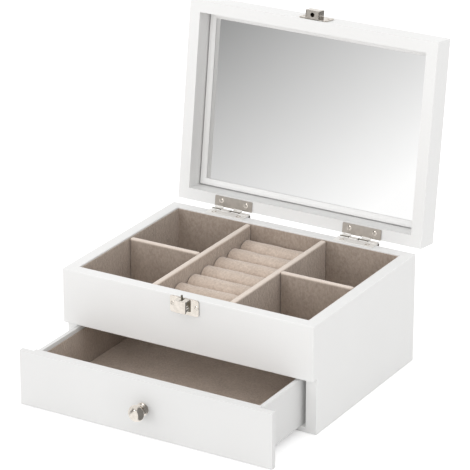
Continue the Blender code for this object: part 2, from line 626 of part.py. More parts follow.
def build_drawer(drawer):
    """Front, four box walls, floor and linings, all in the shut pose."""
    knob_hole = raw_cylinder((0, DRAWER_BOX_Y, KNOB_Z), KNOB_SCREW_RADIUS + FIT_GAP, 0.03, "Y")
    panel("drawer_front", (-HALF_WIDTH, FRONT_Y, DRAWER_FRONT_FLOOR_GAP),
          (HALF_WIDTH, FRONT_Y + DRAWER_FRONT_THICKNESS, DRAWER_FRONT_TOP_Z),
          parent=drawer, holes=[knob_hole])
    inner_y = DRAWER_BOX_Y + DRAWER_WALL
    through = raw_cylinder((0, DRAWER_BOX_Y, KNOB_Z), KNOB_SCREW_RADIUS + FIT_GAP, 0.03, "Y")
    sink_depth = KNOB_SCREW_HEAD_HEIGHT + FIT_GAP
    seat = raw_cylinder((0, inner_y, KNOB_Z), KNOB_SCREW_HEAD_RADIUS + FIT_GAP, sink_depth * 2, "Y")
    edge = PANEL_BEVEL / 2
    panel("drawer_box_front", (DRAWER_LEFT_X, DRAWER_BOX_Y, DRAWER_BASE_Z),
          (DRAWER_RIGHT_X, inner_y, DRAWER_FRONT_TOP_Z - FIT_GAP), parent=drawer,
          holes=[through, seat], edge=edge)
    back_y = DRAWER_BACK_Y - DRAWER_WALL
    for name, x in (("drawer_side_left", DRAWER_LEFT_X),
                    ("drawer_side_right", DRAWER_RIGHT_X - DRAWER_WALL)):
        panel(name, (x, inner_y + FIT_GAP, DRAWER_BASE_Z),
              (x + DRAWER_WALL, DRAWER_BACK_Y, DRAWER_SIDE_TOP), parent=drawer, edge=edge)
    left = DRAWER_LEFT_X + DRAWER_WALL + FIT_GAP
    right = DRAWER_RIGHT_X - DRAWER_WALL - FIT_GAP
    panel("drawer_back", (left, back_y, DRAWER_BASE_Z), (right, DRAWER_BACK_Y, DRAWER_SIDE_TOP),
          parent=drawer, edge=edge)
    front_in, back_in = inner_y + FIT_GAP, back_y - FIT_GAP
    floor_top = DRAWER_FLOOR_Z + DRAWER_FLOOR_THICKNESS
    panel("drawer_bottom", (left, front_in, DRAWER_FLOOR_Z), (right, back_in, floor_top),
          parent=drawer, edge=0)
    lining_z = floor_top + FIT_GAP
    ring_frame("drawer_wall_lining", (left, front_in, lining_z),
               (right, back_in, DRAWER_SIDE_TOP - DRAWER_LINING_DROP), LINING, "velvet", drawer)
    inset = LINING + FIT_GAP
    panel("drawer_floor_lining", (left + inset, front_in + inset, lining_z),
          (right - inset, back_in - inset, lining_z + LINING), "velvet", drawer, edge=0)


def knob_piece(name, profile, y, drawer):
    """A turned knob part whose profile heights run out of the drawer front."""
    obj = turned(profile, ROUND_STEPS)
    obj.rotation_euler = (math.pi / 2, 0, 0)
    obj.location = (0, y, KNOB_Z)
    smooth(obj)
    return finish_object(obj, name, "nickel", drawer)


def build_knob(drawer):
    """A base ring, a round head with a neck, and the screw that holds them from inside."""
    bore = KNOB_SCREW_RADIUS + FIT_GAP
    ease = KNOB_BASE_LENGTH / 4
    base = [(bore, KNOB_BASE_LENGTH), (KNOB_BASE_RADIUS - ease, KNOB_BASE_LENGTH),
            (KNOB_BASE_RADIUS, KNOB_BASE_LENGTH - ease), (KNOB_BASE_RADIUS, 0), (bore, 0),
            (bore, KNOB_BASE_LENGTH)]
    base_y = FRONT_Y - FIT_GAP
    knob_piece("knob_base", base, base_y, drawer)
    neck = KNOB_NECK_LENGTH
    top = neck + KNOB_HEAD_LENGTH
    edge = KNOB_HEAD_LENGTH / 6
    depth = KNOB_SCREW_BITE + FIT_GAP * 2
    head = [(0, top), (KNOB_HEAD_RADIUS - edge * 1.5, top), (KNOB_HEAD_RADIUS, top - edge),
            (KNOB_HEAD_RADIUS, neck + edge * 2), (KNOB_NECK_RADIUS, neck), (KNOB_NECK_RADIUS, 0),
            (bore, 0), (bore, depth), (0, depth)]
    head_y = base_y - KNOB_BASE_LENGTH - FIT_GAP
    knob_piece("knob_head", head, head_y, drawer)
    inner_y = DRAWER_BOX_Y + DRAWER_WALL
    shank = inner_y - KNOB_SCREW_HEAD_HEIGHT - (head_y - KNOB_SCREW_BITE)
    radius, head_radius = KNOB_SCREW_RADIUS, KNOB_SCREW_HEAD_RADIUS
    profile = [(0, shank), (radius, shank), (radius, 0), (head_radius, 0),
               (head_radius, -KNOB_SCREW_HEAD_HEIGHT), (0, -KNOB_SCREW_HEAD_HEIGHT)]
    knob_piece("knob_screw", profile, inner_y - KNOB_SCREW_HEAD_HEIGHT, drawer)


def pivot(name, place, shift=(0, 0, 0), angle=0.0):
    """An empty on a joint's axis: its parts are modelled at place, then shifted and turned."""
    empty = bpy.data.objects.new(name, None)
    bpy.context.scene.collection.objects.link(empty)
    empty.location = Vector(place) + Vector(shift)
    empty.rotation_euler = (angle, 0, 0)
    PIVOTS[name] = Vector(place)
    return empty


for leftover in list(bpy.data.objects):
    bpy.data.objects.remove(leftover)
PARTS = make_collection("jewelry_box")
CUTTERS = make_collection("cutters")
PIVOTS = {}

lid_pivot = pivot("lid_pivot", (0, PIN_Y, PIN_Z), angle=-math.radians(LID_OPEN_DEG))
drawer_slide = pivot("drawer_slide", (0, 0, 0), shift=(0, -DRAWER_PULLED, 0))
lever_pivot = pivot("lever_pivot", (0, LEVER_PIN_Y, LEVER_PIN_Z))
build_case()
build_tray()
build_lid(lid_pivot)
build_hinges(lid_pivot)
build_catch(lever_pivot, lid_pivot)
build_drawer(drawer_slide)
build_knob(drawer_slide)
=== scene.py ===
import json
import math

import bmesh
import bpy
import numpy as np
from mathutils import Matrix

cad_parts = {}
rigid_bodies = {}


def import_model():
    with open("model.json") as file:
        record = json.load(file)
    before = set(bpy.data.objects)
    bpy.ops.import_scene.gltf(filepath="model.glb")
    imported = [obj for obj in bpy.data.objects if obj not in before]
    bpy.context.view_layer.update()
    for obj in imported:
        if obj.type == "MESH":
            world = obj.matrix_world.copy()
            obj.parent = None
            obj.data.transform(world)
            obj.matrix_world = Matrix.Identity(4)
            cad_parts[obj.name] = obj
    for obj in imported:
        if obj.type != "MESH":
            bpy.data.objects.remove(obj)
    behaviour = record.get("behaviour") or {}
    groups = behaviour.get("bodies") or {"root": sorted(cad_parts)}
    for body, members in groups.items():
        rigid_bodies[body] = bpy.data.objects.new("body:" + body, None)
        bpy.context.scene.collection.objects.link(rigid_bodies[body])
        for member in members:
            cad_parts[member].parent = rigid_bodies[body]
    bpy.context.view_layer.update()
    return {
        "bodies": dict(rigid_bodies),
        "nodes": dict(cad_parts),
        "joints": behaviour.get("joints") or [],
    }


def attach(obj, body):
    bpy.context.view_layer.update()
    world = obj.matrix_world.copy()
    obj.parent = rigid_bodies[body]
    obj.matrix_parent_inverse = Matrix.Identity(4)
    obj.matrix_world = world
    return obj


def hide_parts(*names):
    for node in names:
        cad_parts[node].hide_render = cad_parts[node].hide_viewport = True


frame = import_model()

# where things are, all read from the frame

jointOf = {joint["name"]: joint for joint in frame["joints"]}
lidHinge = jointOf["lid_hinge"]
lidPin = np.array(lidHinge["pos_m"], float)
ridersOf = {body: [] for body in frame["bodies"]}
lidOpenAngle = math.radians(lidHinge["range_deg"][1])
leverPin = np.array(jointOf["catch_pivot"]["pos_m"], float)


def turnedAboutPin(points, angle):  # points turned about the hinge pin, which runs along X
    cosine, sine = math.cos(angle), math.sin(angle)
    turn = np.array([[1, 0, 0], [0, cosine, -sine], [0, sine, cosine]])
    return (np.asarray(points, float) - lidPin) @ turn.T + lidPin


def openLid(points):  # a point of the shut lid, carried to where the open lid has it
    return turnedAboutPin(points, -lidOpenAngle)


def nodePoints(node):
    mesh = frame["nodes"][node].data
    points = np.zeros(len(mesh.vertices) * 3)
    mesh.vertices.foreach_get("co", points)
    return points.reshape(-1, 3)


def nodeBox(node, onLid=False):  # lowest and highest corner; a lid piece is measured shut
    points = nodePoints(node)
    if onLid:
        points = turnedAboutPin(points, lidOpenAngle)
    return points.min(0), points.max(0)


# surfaces worked out on grids

def gridFaces(rows, columns, loopRows=False, loopColumns=True):
    # every grid cell becomes one four-sided face
    r = np.arange(rows if loopRows else rows - 1)[:, None]
    c = np.arange(columns if loopColumns else columns - 1)[None, :]
    r2, c2 = (r + 1) % rows, (c + 1) % columns
    return np.stack([r * columns + c, r * columns + c2, r2 * columns + c2, r2 * columns + c],
                    axis=-1).reshape(-1, 4)


def closedGrid(points, loopRows=False):
    # a grid whose columns close on themselves; its first and last rows get a flat cap
    rows, columns = points.shape[:2]
    faces = gridFaces(rows, columns, loopRows).tolist()
    if not loopRows:
        faces.append(list(range(columns))[::-1])
        faces.append(list(range((rows - 1) * columns, rows * columns)))
    return points.reshape(-1, 3), faces


def addObject(name, data):
    obj = bpy.data.objects.new(name, data)
    bpy.context.scene.collection.objects.link(obj)
    return obj


def makePiece(name, shells, material, body, replaced=(), sharp=30, place=None):
    # several closed shells become one mesh, riding on a body and standing for its CAD nodes
    points, faces, start = [], [], 0
    for shellPoints, shellFaces in shells:
        points.append(np.asarray(shellPoints, float))
        faces += [[index + start for index in face] for face in shellFaces]
        start += len(shellPoints)
    allPoints = np.concatenate(points)
    if place is not None:
        allPoints = place(allPoints)
    mesh = bpy.data.meshes.new(name)
    mesh.from_pydata(allPoints.tolist(), [], faces)
    clean = bmesh.new()
    clean.from_mesh(mesh)
    bmesh.ops.remove_doubles(clean, verts=clean.verts, dist=1e-7)
    bmesh.ops.dissolve_degenerate(clean, edges=clean.edges, dist=1e-7)
    bmesh.ops.recalc_face_normals(clean, faces=clean.faces)
    clean.to_mesh(mesh)
    clean.free()
    mesh.shade_smooth()
    if sharp:
        mesh.set_sharp_from_angle(angle=math.radians(sharp))
    piece = addObject(name, mesh)
    mesh.materials.append(material)
    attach(piece, body)
    ridersOf[body].append(piece)
    if replaced:
        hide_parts(*replaced)
    return piece


def extraMetal(name, shells, material, body, sharp=30, place=None):
    # a metal piece that no CAD node stands for
    piece = makePiece(name, shells, material, body, (), sharp, place)


def roundedPath(low, high, radius, arcSteps=4, spacing=None):
    # a rectangle with quarter-circle corners: each point is a base plus radius times a direction
    corners = [(high[0] - radius, high[1] - radius), (low[0] + radius, high[1] - radius),
               (low[0] + radius, low[1] + radius), (high[0] - radius, low[1] + radius)]
    bases, ways = [], []
    for index, corner in enumerate(corners):
        angles = np.linspace(index, index + 1, arcSteps + 1) * math.pi / 2
        bases.append(np.tile(corner, (arcSteps + 1, 1)))
        ways.append(np.stack([np.cos(angles), np.sin(angles)], axis=1))
        following = np.array(corners[(index + 1) % 4])
        length = np.linalg.norm(following - corner)
        guard = min(radius * 0.5 / max(length, 1e-9), 0.2)  # keeps the flat side's shading flat
        count = int(length / spacing) if spacing else 1
        share = np.concatenate([[guard], np.arange(1, count) / max(count, 1), [1 - guard]])[:, None]
        bases.append(np.array(corner) * (1 - share) + following * share)
        ways.append(np.tile(ways[-1][-1], (len(share), 1)))
    return np.concatenate(bases), np.concatenate(ways)


def slab(low, high, edge=0.0006, corner=None, axis=2, arcSteps=4, spacing=None, rowGap=None):
    # a board: its rounded outline is carried along one axis, and draws in by a quarter circle
    # at both ends, so every edge is a smooth round
    order = [(1, 2, 0), (2, 0, 1), (0, 1, 2)][axis]
    low, high = np.asarray(low, float)[list(order)], np.asarray(high, float)[list(order)]
    corner = max(corner or 0, edge * 1.6)
    base, way = roundedPath(low[:2], high[:2], corner, arcSteps, spacing)
    turn = np.linspace(0, math.pi / 2, arcSteps + 1)
    inset = edge * (1 - np.sin(turn))
    rise = edge * (1 - np.cos(turn))
    middle = max(int((high[2] - low[2]) / rowGap), 1) if rowGap else 1
    between = np.linspace(low[2] + edge, high[2] - edge, middle + 1)[1:-1]
    guard = min(edge * 0.5, (high[2] - low[2] - 2 * edge) * 0.2)  # rows that keep flat faces flat
    between = np.concatenate([[low[2] + edge + guard], between, [high[2] - edge - guard]])
    heights = np.concatenate([[low[2]], low[2] + rise, between, (high[2] - rise)[::-1], [high[2]]])
    insets = np.concatenate([[edge + guard], inset, np.zeros(len(between)), inset[::-1], [edge + guard]])
    reach = corner - insets[:, None, None]
    flat = base[None] + reach * way[None]
    points = np.concatenate([flat, np.broadcast_to(heights[:, None, None], flat.shape[:2] + (1,))],
                            axis=2)
    back = np.argsort(order)
    return closedGrid(points[:, :, back])


def ringWall(low, high, wall, edge, spacing):
    # a thin wall section, rounded at its top, carried round a rectangle
    corner = wall * 1.3
    base, way = roundedPath(low[:2], high[:2], corner, 4, spacing)
    turn = np.linspace(0, math.pi, 9)
    inset = np.concatenate([[0], wall / 2 - np.cos(turn) * wall / 2, [wall]])
    height = np.concatenate([[low[2]], high[2] - edge + np.sin(turn) * edge, [low[2]]])
    flat = base[None] + (corner - inset[:, None, None]) * way[None]
    points = np.concatenate([flat, np.broadcast_to(height[:, None, None], flat.shape[:2] + (1,))],
                            axis=2)
    return closedGrid(points, loopRows=True)


def turned(profile, centre, axis, steps=48, carve=None):
    # a closed profile of (radius, distance along the axis), swept once round the axis
    profile = np.asarray(profile, float)
    angle = np.linspace(0, 2 * math.pi, steps, endpoint=False)
    radius, along = profile[:, 0][:, None], profile[:, 1][:, None] + 0 * angle[None]
    if carve is not None:
        along = along + carve(radius, angle[None])
    first, second = {0: (1, 2), 1: (2, 0), 2: (0, 1)}[axis]
    points = np.zeros((len(profile), steps, 3))
    points[:, :, first] = radius * np.cos(angle)
    points[:, :, second] = radius * np.sin(angle)
    points[:, :, axis] = along
    faces = gridFaces(len(profile), steps).tolist()
    return points.reshape(-1, 3) + np.asarray(centre, float), faces


def rounded(profile, amount, steps=3):
    # a polyline with every inner corner replaced by a short curve
    profile = np.asarray(profile, float)
    result = [profile[0]]
    share = np.linspace(0, 1, steps + 1)[:, None]
    for before, corner, after in zip(profile[:-2], profile[1:-1], profile[2:]):
        reachIn = min(amount, np.linalg.norm(corner - before) * 0.45)
        reachOut = min(amount, np.linalg.norm(after - corner) * 0.45)
        start = corner + (before - corner) / max(np.linalg.norm(before - corner), 1e-9) * reachIn
        end = corner + (after - corner) / max(np.linalg.norm(after - corner), 1e-9) * reachOut
        result.extend((1 - share) ** 2 * start + 2 * share * (1 - share) * corner + share ** 2 * end)
    result.append(profile[-1])
    return np.array(result)


def ripple(points, amount, length, phase):
    # three slow waves at uneven angles, worth about the amount each way
    x, y, z = points[:, 0] / length, points[:, 1] / length, points[:, 2] / length
    return amount * (np.sin(5.1 * x + 3.7 * z + phase) + np.sin(4.3 * y - 2.9 * z + 1.7 * phase)
                     + np.sin(2.3 * x + 2.9 * y + 4.1 * z + 2.3 * phase)) / 3


boards = {
    "segments": 3,      # steps in each eased edge
    "weld": 1e-6,
    "flatAngle": 1,     # faces this close to level are merged, in degrees
}


def joinedBoards(name, boxes, edge, material, body, replaced, place=None):
    # boards united into one painted body with every outer edge eased
    def cubes(chosen, label):
        signs = np.array([[x, y, z] for x in (0, 1) for y in (0, 1) for z in (0, 1)], float)
        sides = np.array([[0, 1, 3, 2], [4, 6, 7, 5], [0, 4, 5, 1], [2, 3, 7, 6], [0, 2, 6, 4],
                          [1, 5, 7, 3]])
        low = np.array([box[0] for box in chosen])[:, None]
        high = np.array([box[1] for box in chosen])[:, None]
        points = (low + (high - low) * signs[None]).reshape(-1, 3)
        faces = (sides[None] + 8 * np.arange(len(chosen))[:, None, None]).reshape(-1, 4)
        mesh = bpy.data.meshes.new(label)
        mesh.from_pydata(points.tolist(), [], faces.tolist())
        return addObject(label, mesh)

    piece = cubes(boxes[:1], name)
    others = cubes(boxes[1:], name + "Rest")
    union = piece.modifiers.new("union", "BOOLEAN")
    union.operation, union.solver, union.object, union.use_self = "UNION", "EXACT", others, True
    piece.data = evaluatedMesh(piece)
    piece.modifiers.clear()
    bpy.data.objects.remove(others)
    tidy = bmesh.new()
    tidy.from_mesh(piece.data)
    bmesh.ops.remove_doubles(tidy, verts=tidy.verts, dist=boards["weld"])
    bmesh.ops.dissolve_limit(tidy, angle_limit=math.radians(boards["flatAngle"]), verts=tidy.verts,
                             edges=tidy.edges)
    tidy.to_mesh(piece.data)
    tidy.free()
    ease = piece.modifiers.new("ease", "BEVEL")
    ease.width, ease.segments, ease.limit_method = edge, boards["segments"], "ANGLE"
    ease.harden_normals = True
    piece.data.shade_smooth()
    piece.data = evaluatedMesh(piece)
    piece.modifiers.clear()
    if place is not None:
        points = np.zeros(len(piece.data.vertices) * 3)
        piece.data.vertices.foreach_get("co", points)
        normals = np.zeros(len(piece.data.loops) * 3)
        piece.data.loops.foreach_get("normal", normals)
        moved = place(points.reshape(-1, 3))
        turnedNormals = place(normals.reshape(-1, 3) + lidPin) - lidPin
        piece.data.vertices.foreach_set("co", moved.ravel())
        piece.data.update()
        piece.data.normals_split_custom_set(turnedNormals.tolist())
    piece.data.materials.clear()
    piece.data.materials.append(material)
    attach(piece, body)
    ridersOf[body].append(piece)
    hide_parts(*replaced)
    return piece


def evaluatedMesh(obj):
    bpy.context.view_layer.update()
    graph = bpy.context.evaluated_depsgraph_get()
    return bpy.data.meshes.new_from_object(obj.evaluated_get(graph))


# finishes

def newMaterial(name):
    material = bpy.data.materials.new(name)
    material.use_nodes = True
    tree = material.node_tree
    return material, tree, tree.nodes["Principled BSDF"]


def makeNode(tree, kind, inputs=(), **settings):
    # a shader node whose inputs are each linked to a socket or set to a value
    node = tree.nodes.new("ShaderNode" + kind)
    for key, value in settings.items():
        setattr(node, key, value)
    for key, value in dict(inputs).items():
        if hasattr(value, "links"):
            tree.links.new(value, node.inputs[key])
        else:
            node.inputs[key].default_value = value
    return node


def noiseNode(tree, scale, detail=2.0, roughness=0.5, stretch=(1, 1, 1)):
    where = makeNode(tree, "TexCoord")
    mapping = makeNode(tree, "Mapping", {"Vector": where.outputs["Object"], "Scale": stretch})
    return makeNode(tree, "TexNoise", {"Vector": mapping.outputs["Vector"], "Scale": scale,
                                       "Detail": detail, "Roughness": roughness}).outputs["Fac"]


def rangeNode(tree, source, fromLow, fromHigh, toLow, toHigh):
    return makeNode(tree, "MapRange", {"Value": source, "From Min": fromLow, "From Max": fromHigh,
                                       "To Min": toLow, "To Max": toHigh}).outputs["Result"]


def mixNode(tree, share, first, second):
    first, second = (value if hasattr(value, "links") else (*value, 1) for value in (first, second))
    node = makeNode(tree, "Mix", {"Factor": share, "A": first, "B": second}, data_type="RGBA")
    return node.outputs["Result"]


def mathNode(tree, operation, *inputs):
    return makeNode(tree, "Math", enumerate(inputs), operation=operation).outputs[0]


def addNode(tree, first, second, weight):
    return mathNode(tree, "MULTIPLY_ADD", second, weight, first)


def chooseShader(tree, share, first, second):
    return makeNode(tree, "MixShader", enumerate((share, first, second))).outputs[0]


def bumpNode(tree, shader, height, strength, distance):
    bump = makeNode(tree, "Bump", {"Strength": strength, "Distance": distance, "Height": height})
    tree.links.new(bump.outputs["Normal"], shader.inputs["Normal"])


paint = {
    "colour": (0.835, 0.832, 0.824),
    "shade": (0.820, 0.817, 0.808),
    "rough": (0.34, 0.46),
    "orangePeel": 620,      # bumps a metre, from the roller
    "brushGrain": 2600,
    "grainShare": 0.35,
    "mottle": 14,
    "specular": 0.45,
    "bump": 0.10,
    "bumpDepth": 0.0004,
}


def paintMaterial(name, stretch=(1, 1, 1), depth=1.0):
    # satin paint: a faint mottle, roller bumps and very fine brush grain along the board
    material, tree, shader = newMaterial(name)
    mottle = noiseNode(tree, paint["mottle"], 3)
    peel = noiseNode(tree, paint["orangePeel"], 2)
    grain = noiseNode(tree, paint["brushGrain"], 1, 0.5, stretch)
    # a depth below one is painted shade and above one painted light: the same paint made darker or lighter
    colour, shade = ([value * depth for value in paint[key]] for key in ("colour", "shade"))
    colour = mixNode(tree, rangeNode(tree, mottle, 0.35, 0.65, 0, 1), colour, shade)
    tree.links.new(colour, shader.inputs["Base Color"])
    tree.links.new(rangeNode(tree, mottle, 0.3, 0.7, *paint["rough"]), shader.inputs["Roughness"])
    shader.inputs["Specular IOR Level"].default_value = paint["specular"]
    height = addNode(tree, peel, grain, paint["grainShare"])
    bumpNode(tree, shader, height, paint["bump"], paint["bumpDepth"])
    return material


velvet = {
    "light": (0.475, 0.398, 0.338),
    "dark": (0.345, 0.280, 0.232),
    "pile": 620,            # tufts a metre
    # painted highlight for the dividers' top edges: a paler colour standing in for the light and sheen that
    # fall there
    "rubbed": (0.74, 0.64, 0.56),
    "rubbedDepth": 0.0016,
    "rubbedFade": 0.0002,
    "patches": 60,
    "patchShare": 0.55,
    "fleck": (0.55, 1.00),  # the noise range from dark to light
    "rough": 0.95,
    "specular": 0.15,
    "bump": 0.60,
    "bumpDepth": 0.0010,
    "brightest": 0.9,
    "sheen": 1.0,
    "sheenRough": 0.40,
    "sheenTint": (0.98, 0.93, 0.88),
}


def velvetMaterial(name, lift=1.0, paintedHighlightTop=None):
    # short pile: speckled tufts, slow brushed patches, a soft sheen at grazing angles; a given top height
    # adds a painted highlight, a paler band along the top edge where light falls
    material, tree, shader = newMaterial(name)
    tufts = noiseNode(tree, velvet["pile"], 3, 0.65, (1, 1, 0.6))
    patches = noiseNode(tree, velvet["patches"], 4, 0.6, (1, 1, 0.35))
    fleck = addNode(tree, tufts, patches, velvet["patchShare"])
    share = rangeNode(tree, fleck, *velvet["fleck"], 0, 1)
    # a lift above one is painted light: the whole cloth made lighter where more light falls on it
    light = tuple(min(value * lift, velvet["brightest"]) for value in velvet["light"])
    dark = tuple(value * lift for value in velvet["dark"])
    colour = mixNode(tree, share, dark, light)
    # painted highlight: the top few millimetres of the cloth turn paler
    if paintedHighlightTop is not None:
        where = makeNode(tree, "TexCoord")
        height = makeNode(tree, "SeparateXYZ", {0: where.outputs["Object"]})
        rubbed = rangeNode(tree, height.outputs["Z"], paintedHighlightTop - velvet["rubbedDepth"],
                           paintedHighlightTop - velvet["rubbedFade"], 0, 1)
        colour = mixNode(tree, rubbed, colour, velvet["rubbed"])
    tree.links.new(colour, shader.inputs["Base Color"])
    shader.inputs["Roughness"].default_value = velvet["rough"]
    shader.inputs["Specular IOR Level"].default_value = velvet["specular"]
    shader.inputs["Sheen Weight"].default_value = velvet["sheen"]
    shader.inputs["Sheen Roughness"].default_value = velvet["sheenRough"]
    shader.inputs["Sheen Tint"].default_value = (*velvet["sheenTint"], 1)
    bumpNode(tree, shader, fleck, velvet["bump"], velvet["bumpDepth"])
    return material


metal = {
    "cloud": 260,
    "bumpDepth": 0.0002,
}


def metalMaterial(name, colour, darker, rough, brush=(1, 1, 1), bump=0.02, scale=900, metallic=1.0):
    # plated metal: cloudy tint, uneven polish and fine brush lines where it is satin
    material, tree, shader = newMaterial(name)
    cloud = noiseNode(tree, metal["cloud"], 3)
    lines = noiseNode(tree, scale, 2, 0.6, brush)
    tree.links.new(mixNode(tree, rangeNode(tree, cloud, 0.35, 0.7, 0, 1), colour, darker),
                   shader.inputs["Base Color"])
    tree.links.new(rangeNode(tree, lines, 0.3, 0.7, *rough), shader.inputs["Roughness"])
    shader.inputs["Metallic"].default_value = metallic
    bumpNode(tree, shader, lines, bump, metal["bumpDepth"])
    return material


def mirrorMaterial(name):
    # silvered glass: nearly perfect, with a trace of haze
    material, tree, shader = newMaterial(name)
    haze = noiseNode(tree, 35, 2)
    tree.links.new(mixNode(tree, haze, (0.935, 0.935, 0.93), (0.915, 0.915, 0.91)),
                   shader.inputs["Base Color"])
    tree.links.new(rangeNode(tree, haze, 0.3, 0.7, 0.004, 0.012), shader.inputs["Roughness"])
    shader.inputs["Metallic"].default_value = 1
    return material


whitePaint = paintMaterial("whitePaint", (0.12, 1, 1))
endPaint = paintMaterial("endPaint", (1, 1, 0.12))
# painted shade and light: the drawer takes a darker copy of the paint where its front catches more light,
# the lid and the mirror bead lighter copies where they sit in shade
drawerPaint = paintMaterial("drawerPaint", (0.12, 1, 1), 0.905)
lidPaint = paintMaterial("lidPaint", (0.12, 1, 1), 1.01)
beadPaint = paintMaterial("beadPaint", (1, 1, 0.12), 1.06)
velvetCloth = velvetMaterial("velvetCloth")
# painted light: the ring pad, the drawer floor and the dividers take lighter copies of the same cloth,
# standing in for the light and grazing sheen on them
velvetPad = velvetMaterial("velvetPad", 1.50)
velvetFloor = velvetMaterial("velvetFloor", 1.55)
velvetEdge = velvetMaterial("velvetEdge", 1.04, nodeBox("divider_long_left")[1][2])
polishedNickel = metalMaterial("polishedNickel", (0.84, 0.78, 0.71), (0.74, 0.68, 0.61), (0.08, 0.18))
# nickel for the case leaves and all knuckles, half diffuse: its near-white base colour is a painted
# reflection of the bright room
brightNickel = metalMaterial("brightNickel", (0.98, 0.965, 0.94), (0.96, 0.94, 0.91), (0.32, 0.38),
                             metallic=0.45)
satinNickel = metalMaterial("satinNickel", (0.54, 0.49, 0.44), (0.47, 0.425, 0.38), (0.30, 0.44),
                            (0.08, 1, 1), 0.10, 2400)
# dark steel for the spring and the hinge pin, whose darkness also helps the knuckle gaps read as shade; it
# also colours the painted shadows at the knuckle gaps, under the lid's knuckles, round the lever and in the
# hook block
darkSteel = metalMaterial("darkSteel", (0.20, 0.175, 0.13), (0.12, 0.10, 0.075), (0.30, 0.5))
mirrorSilver = mirrorMaterial("mirrorSilver")
print("finishes made")

# the painted case

case = {
    "edge": 0.0008,
    "lap": 0.0008,      # how far boards run into each other under the paint
}


def buildCase():
    left, right = nodeBox("side_left"), nodeBox("side_right")
    back, front, base = nodeBox("back_panel"), nodeBox("front_panel"), nodeBox("bottom_board")
    lap = case["lap"]
    sideFront = left[0][1]
    boxes = [left, right]
    boxes.append(([left[0][0], front[0][1], front[0][2]], [right[1][0], sideFront + lap / 2, front[1][2]]))
    boxes.append(([left[1][0] - lap, sideFront - lap, front[0][2]],
                  [right[0][0] + lap, front[1][1], front[1][2]]))
    boxes.append(([left[1][0] - lap, back[0][1], 0], [right[0][0] + lap, back[1][1], back[1][2]]))
    boxes.append(([left[1][0] - lap, sideFront, 0], [right[0][0] + lap, back[0][1] + lap, base[1][2]]))
    joinedBoards("paintedCase", boxes, case["edge"], whitePaint, "case",
                 ["side_left", "side_right", "back_panel", "front_panel", "bottom_board"])


buildCase()
print("case built")

# the velvet tray

tray = {
    "edge": 0.0011,
    "wave": 0.00012,
    "waveLength": 0.030,
    "grid": 0.005,
    "floorEdge": 0.0004,
    "cloth": 0.001,         # wall lining thickness
    "clothEdge": 0.0005,
    "clothGrid": 0.006,
}


def softSlab(low, high, phase):
    # a cloth-covered board: a slab whose faces ripple a little where the cloth is drawn over it
    points, faces = slab(low, high, tray["edge"], spacing=tray["grid"], rowGap=tray["grid"])
    middle = (np.asarray(low) + np.asarray(high)) / 2
    thin = int(np.argmin(np.asarray(high) - np.asarray(low)))
    side = np.sign(points[:, thin] - middle[thin])
    points[:, thin] -= side * (tray["wave"] + ripple(points, tray["wave"], tray["waveLength"], phase))
    return points, faces


def liningWall(low, high):
    return ringWall(low, high, tray["cloth"], tray["clothEdge"], tray["clothGrid"])


def buildTray():
    low, high = nodeBox("tray_wall_lining")
    makePiece("trayWallVelvet", [liningWall(low, high)], velvetCloth, "case", ["tray_wall_lining"])
    floor = nodeBox("tray_floor_lining")
    makePiece("trayFloorVelvet", [slab(*floor, tray["floorEdge"])], velvetCloth, "case",
              ["tray_floor_lining"])
    for index, side in enumerate(("left", "right")):
        for kind in ("long", "cross"):
            node = f"divider_{kind}_{side}"
            name = f"{kind}Divider{side.capitalize()}"
            makePiece(name, [softSlab(*nodeBox(node), index + len(kind))],
                      velvetEdge, "case", [node])


roll = {
    "squeeze": 0.0006,     # how much the ends draw in against the dividers
    "endRound": 0.0012,
    "wave": 0.00022,
    "sidePower": 0.92,     # below 1 squares the round a little
    "topPower": 0.96,
    "skirt": 0.16,
    "skirtPower": 0.35,
    "baseShare": 0.14,     # how far up the height the round starts
    "fill": 0.85,
    "padEdge": 0.0008,
    "count": sum(node.startswith("ring_roll_") for node in frame["nodes"]),
}


def rollSurface(low, high, phase):
    # a foam roll: a half circle on a short straight skirt, carried along X; its radius swells
    # and sinks slowly along its length and draws in at both ends
    half = (high[1] - low[1]) / 2
    middleY = (low[1] + high[1]) / 2
    height = high[2] - low[2]
    around = np.linspace(0, 2 * math.pi, 73)[:-1]
    wide = np.sign(np.cos(around)) * np.abs(np.cos(around)) ** roll["sidePower"]
    tall = np.where(np.sin(around) >= 0, np.abs(np.sin(around)) ** roll["topPower"],
                    -roll["skirt"] * np.abs(np.sin(around)) ** roll["skirtPower"])
    end = roll["endRound"] / (high[0] - low[0])
    along = np.concatenate([np.linspace(0, end, 7), np.linspace(end, 1 - end, 40)[1:-1],
                            np.linspace(1 - end, 1, 7)])
    fromEnd = np.minimum(along, 1 - along) / end
    drawn = np.where(fromEnd < 1, (1 - np.sqrt(np.clip(1 - (1 - fromEnd) ** 2, 0, 1))), 0)
    swell = np.sin(along * 9.0 + phase) * 0.6 + np.sin(along * 17.0 + phase * 2.1) * 0.4
    size = 1 - (drawn * roll["squeeze"] + (1 + swell) * roll["wave"]) / half
    x = low[0] + (high[0] - low[0]) * along
    base = low[2] + height * roll["baseShare"]
    points = np.zeros((len(along), len(around), 3))
    points[:, :, 0] = x[:, None]
    points[:, :, 1] = middleY + half * size[:, None] * wide[None]
    points[:, :, 2] = base + height * (1 - roll["baseShare"]) * size[:, None] * tall[None]
    return closedGrid(points)


def buildRolls():
    base = nodeBox("ring_pad_base")
    makePiece("ringPadBase", [slab(*base, roll["padEdge"])], velvetPad, "case", ["ring_pad_base"])
    for number in range(1, roll["count"] + 1):
        node = f"ring_roll_{number}"
        piece = makePiece(f"ringRoll{number}", [rollSurface(*nodeBox(node), number * 1.9)],
                          velvetPad, "case", [node], sharp=50)


buildTray()
buildRolls()
print("tray and ring rolls built")

# the lid and its mirror

lid = {
    "edge": 0.0009,
    "lap": 0.0008,
    "beadWidth": 0.0056,
    "beadRound": 0.0006,
    "glassEdge": 0.0002,
}


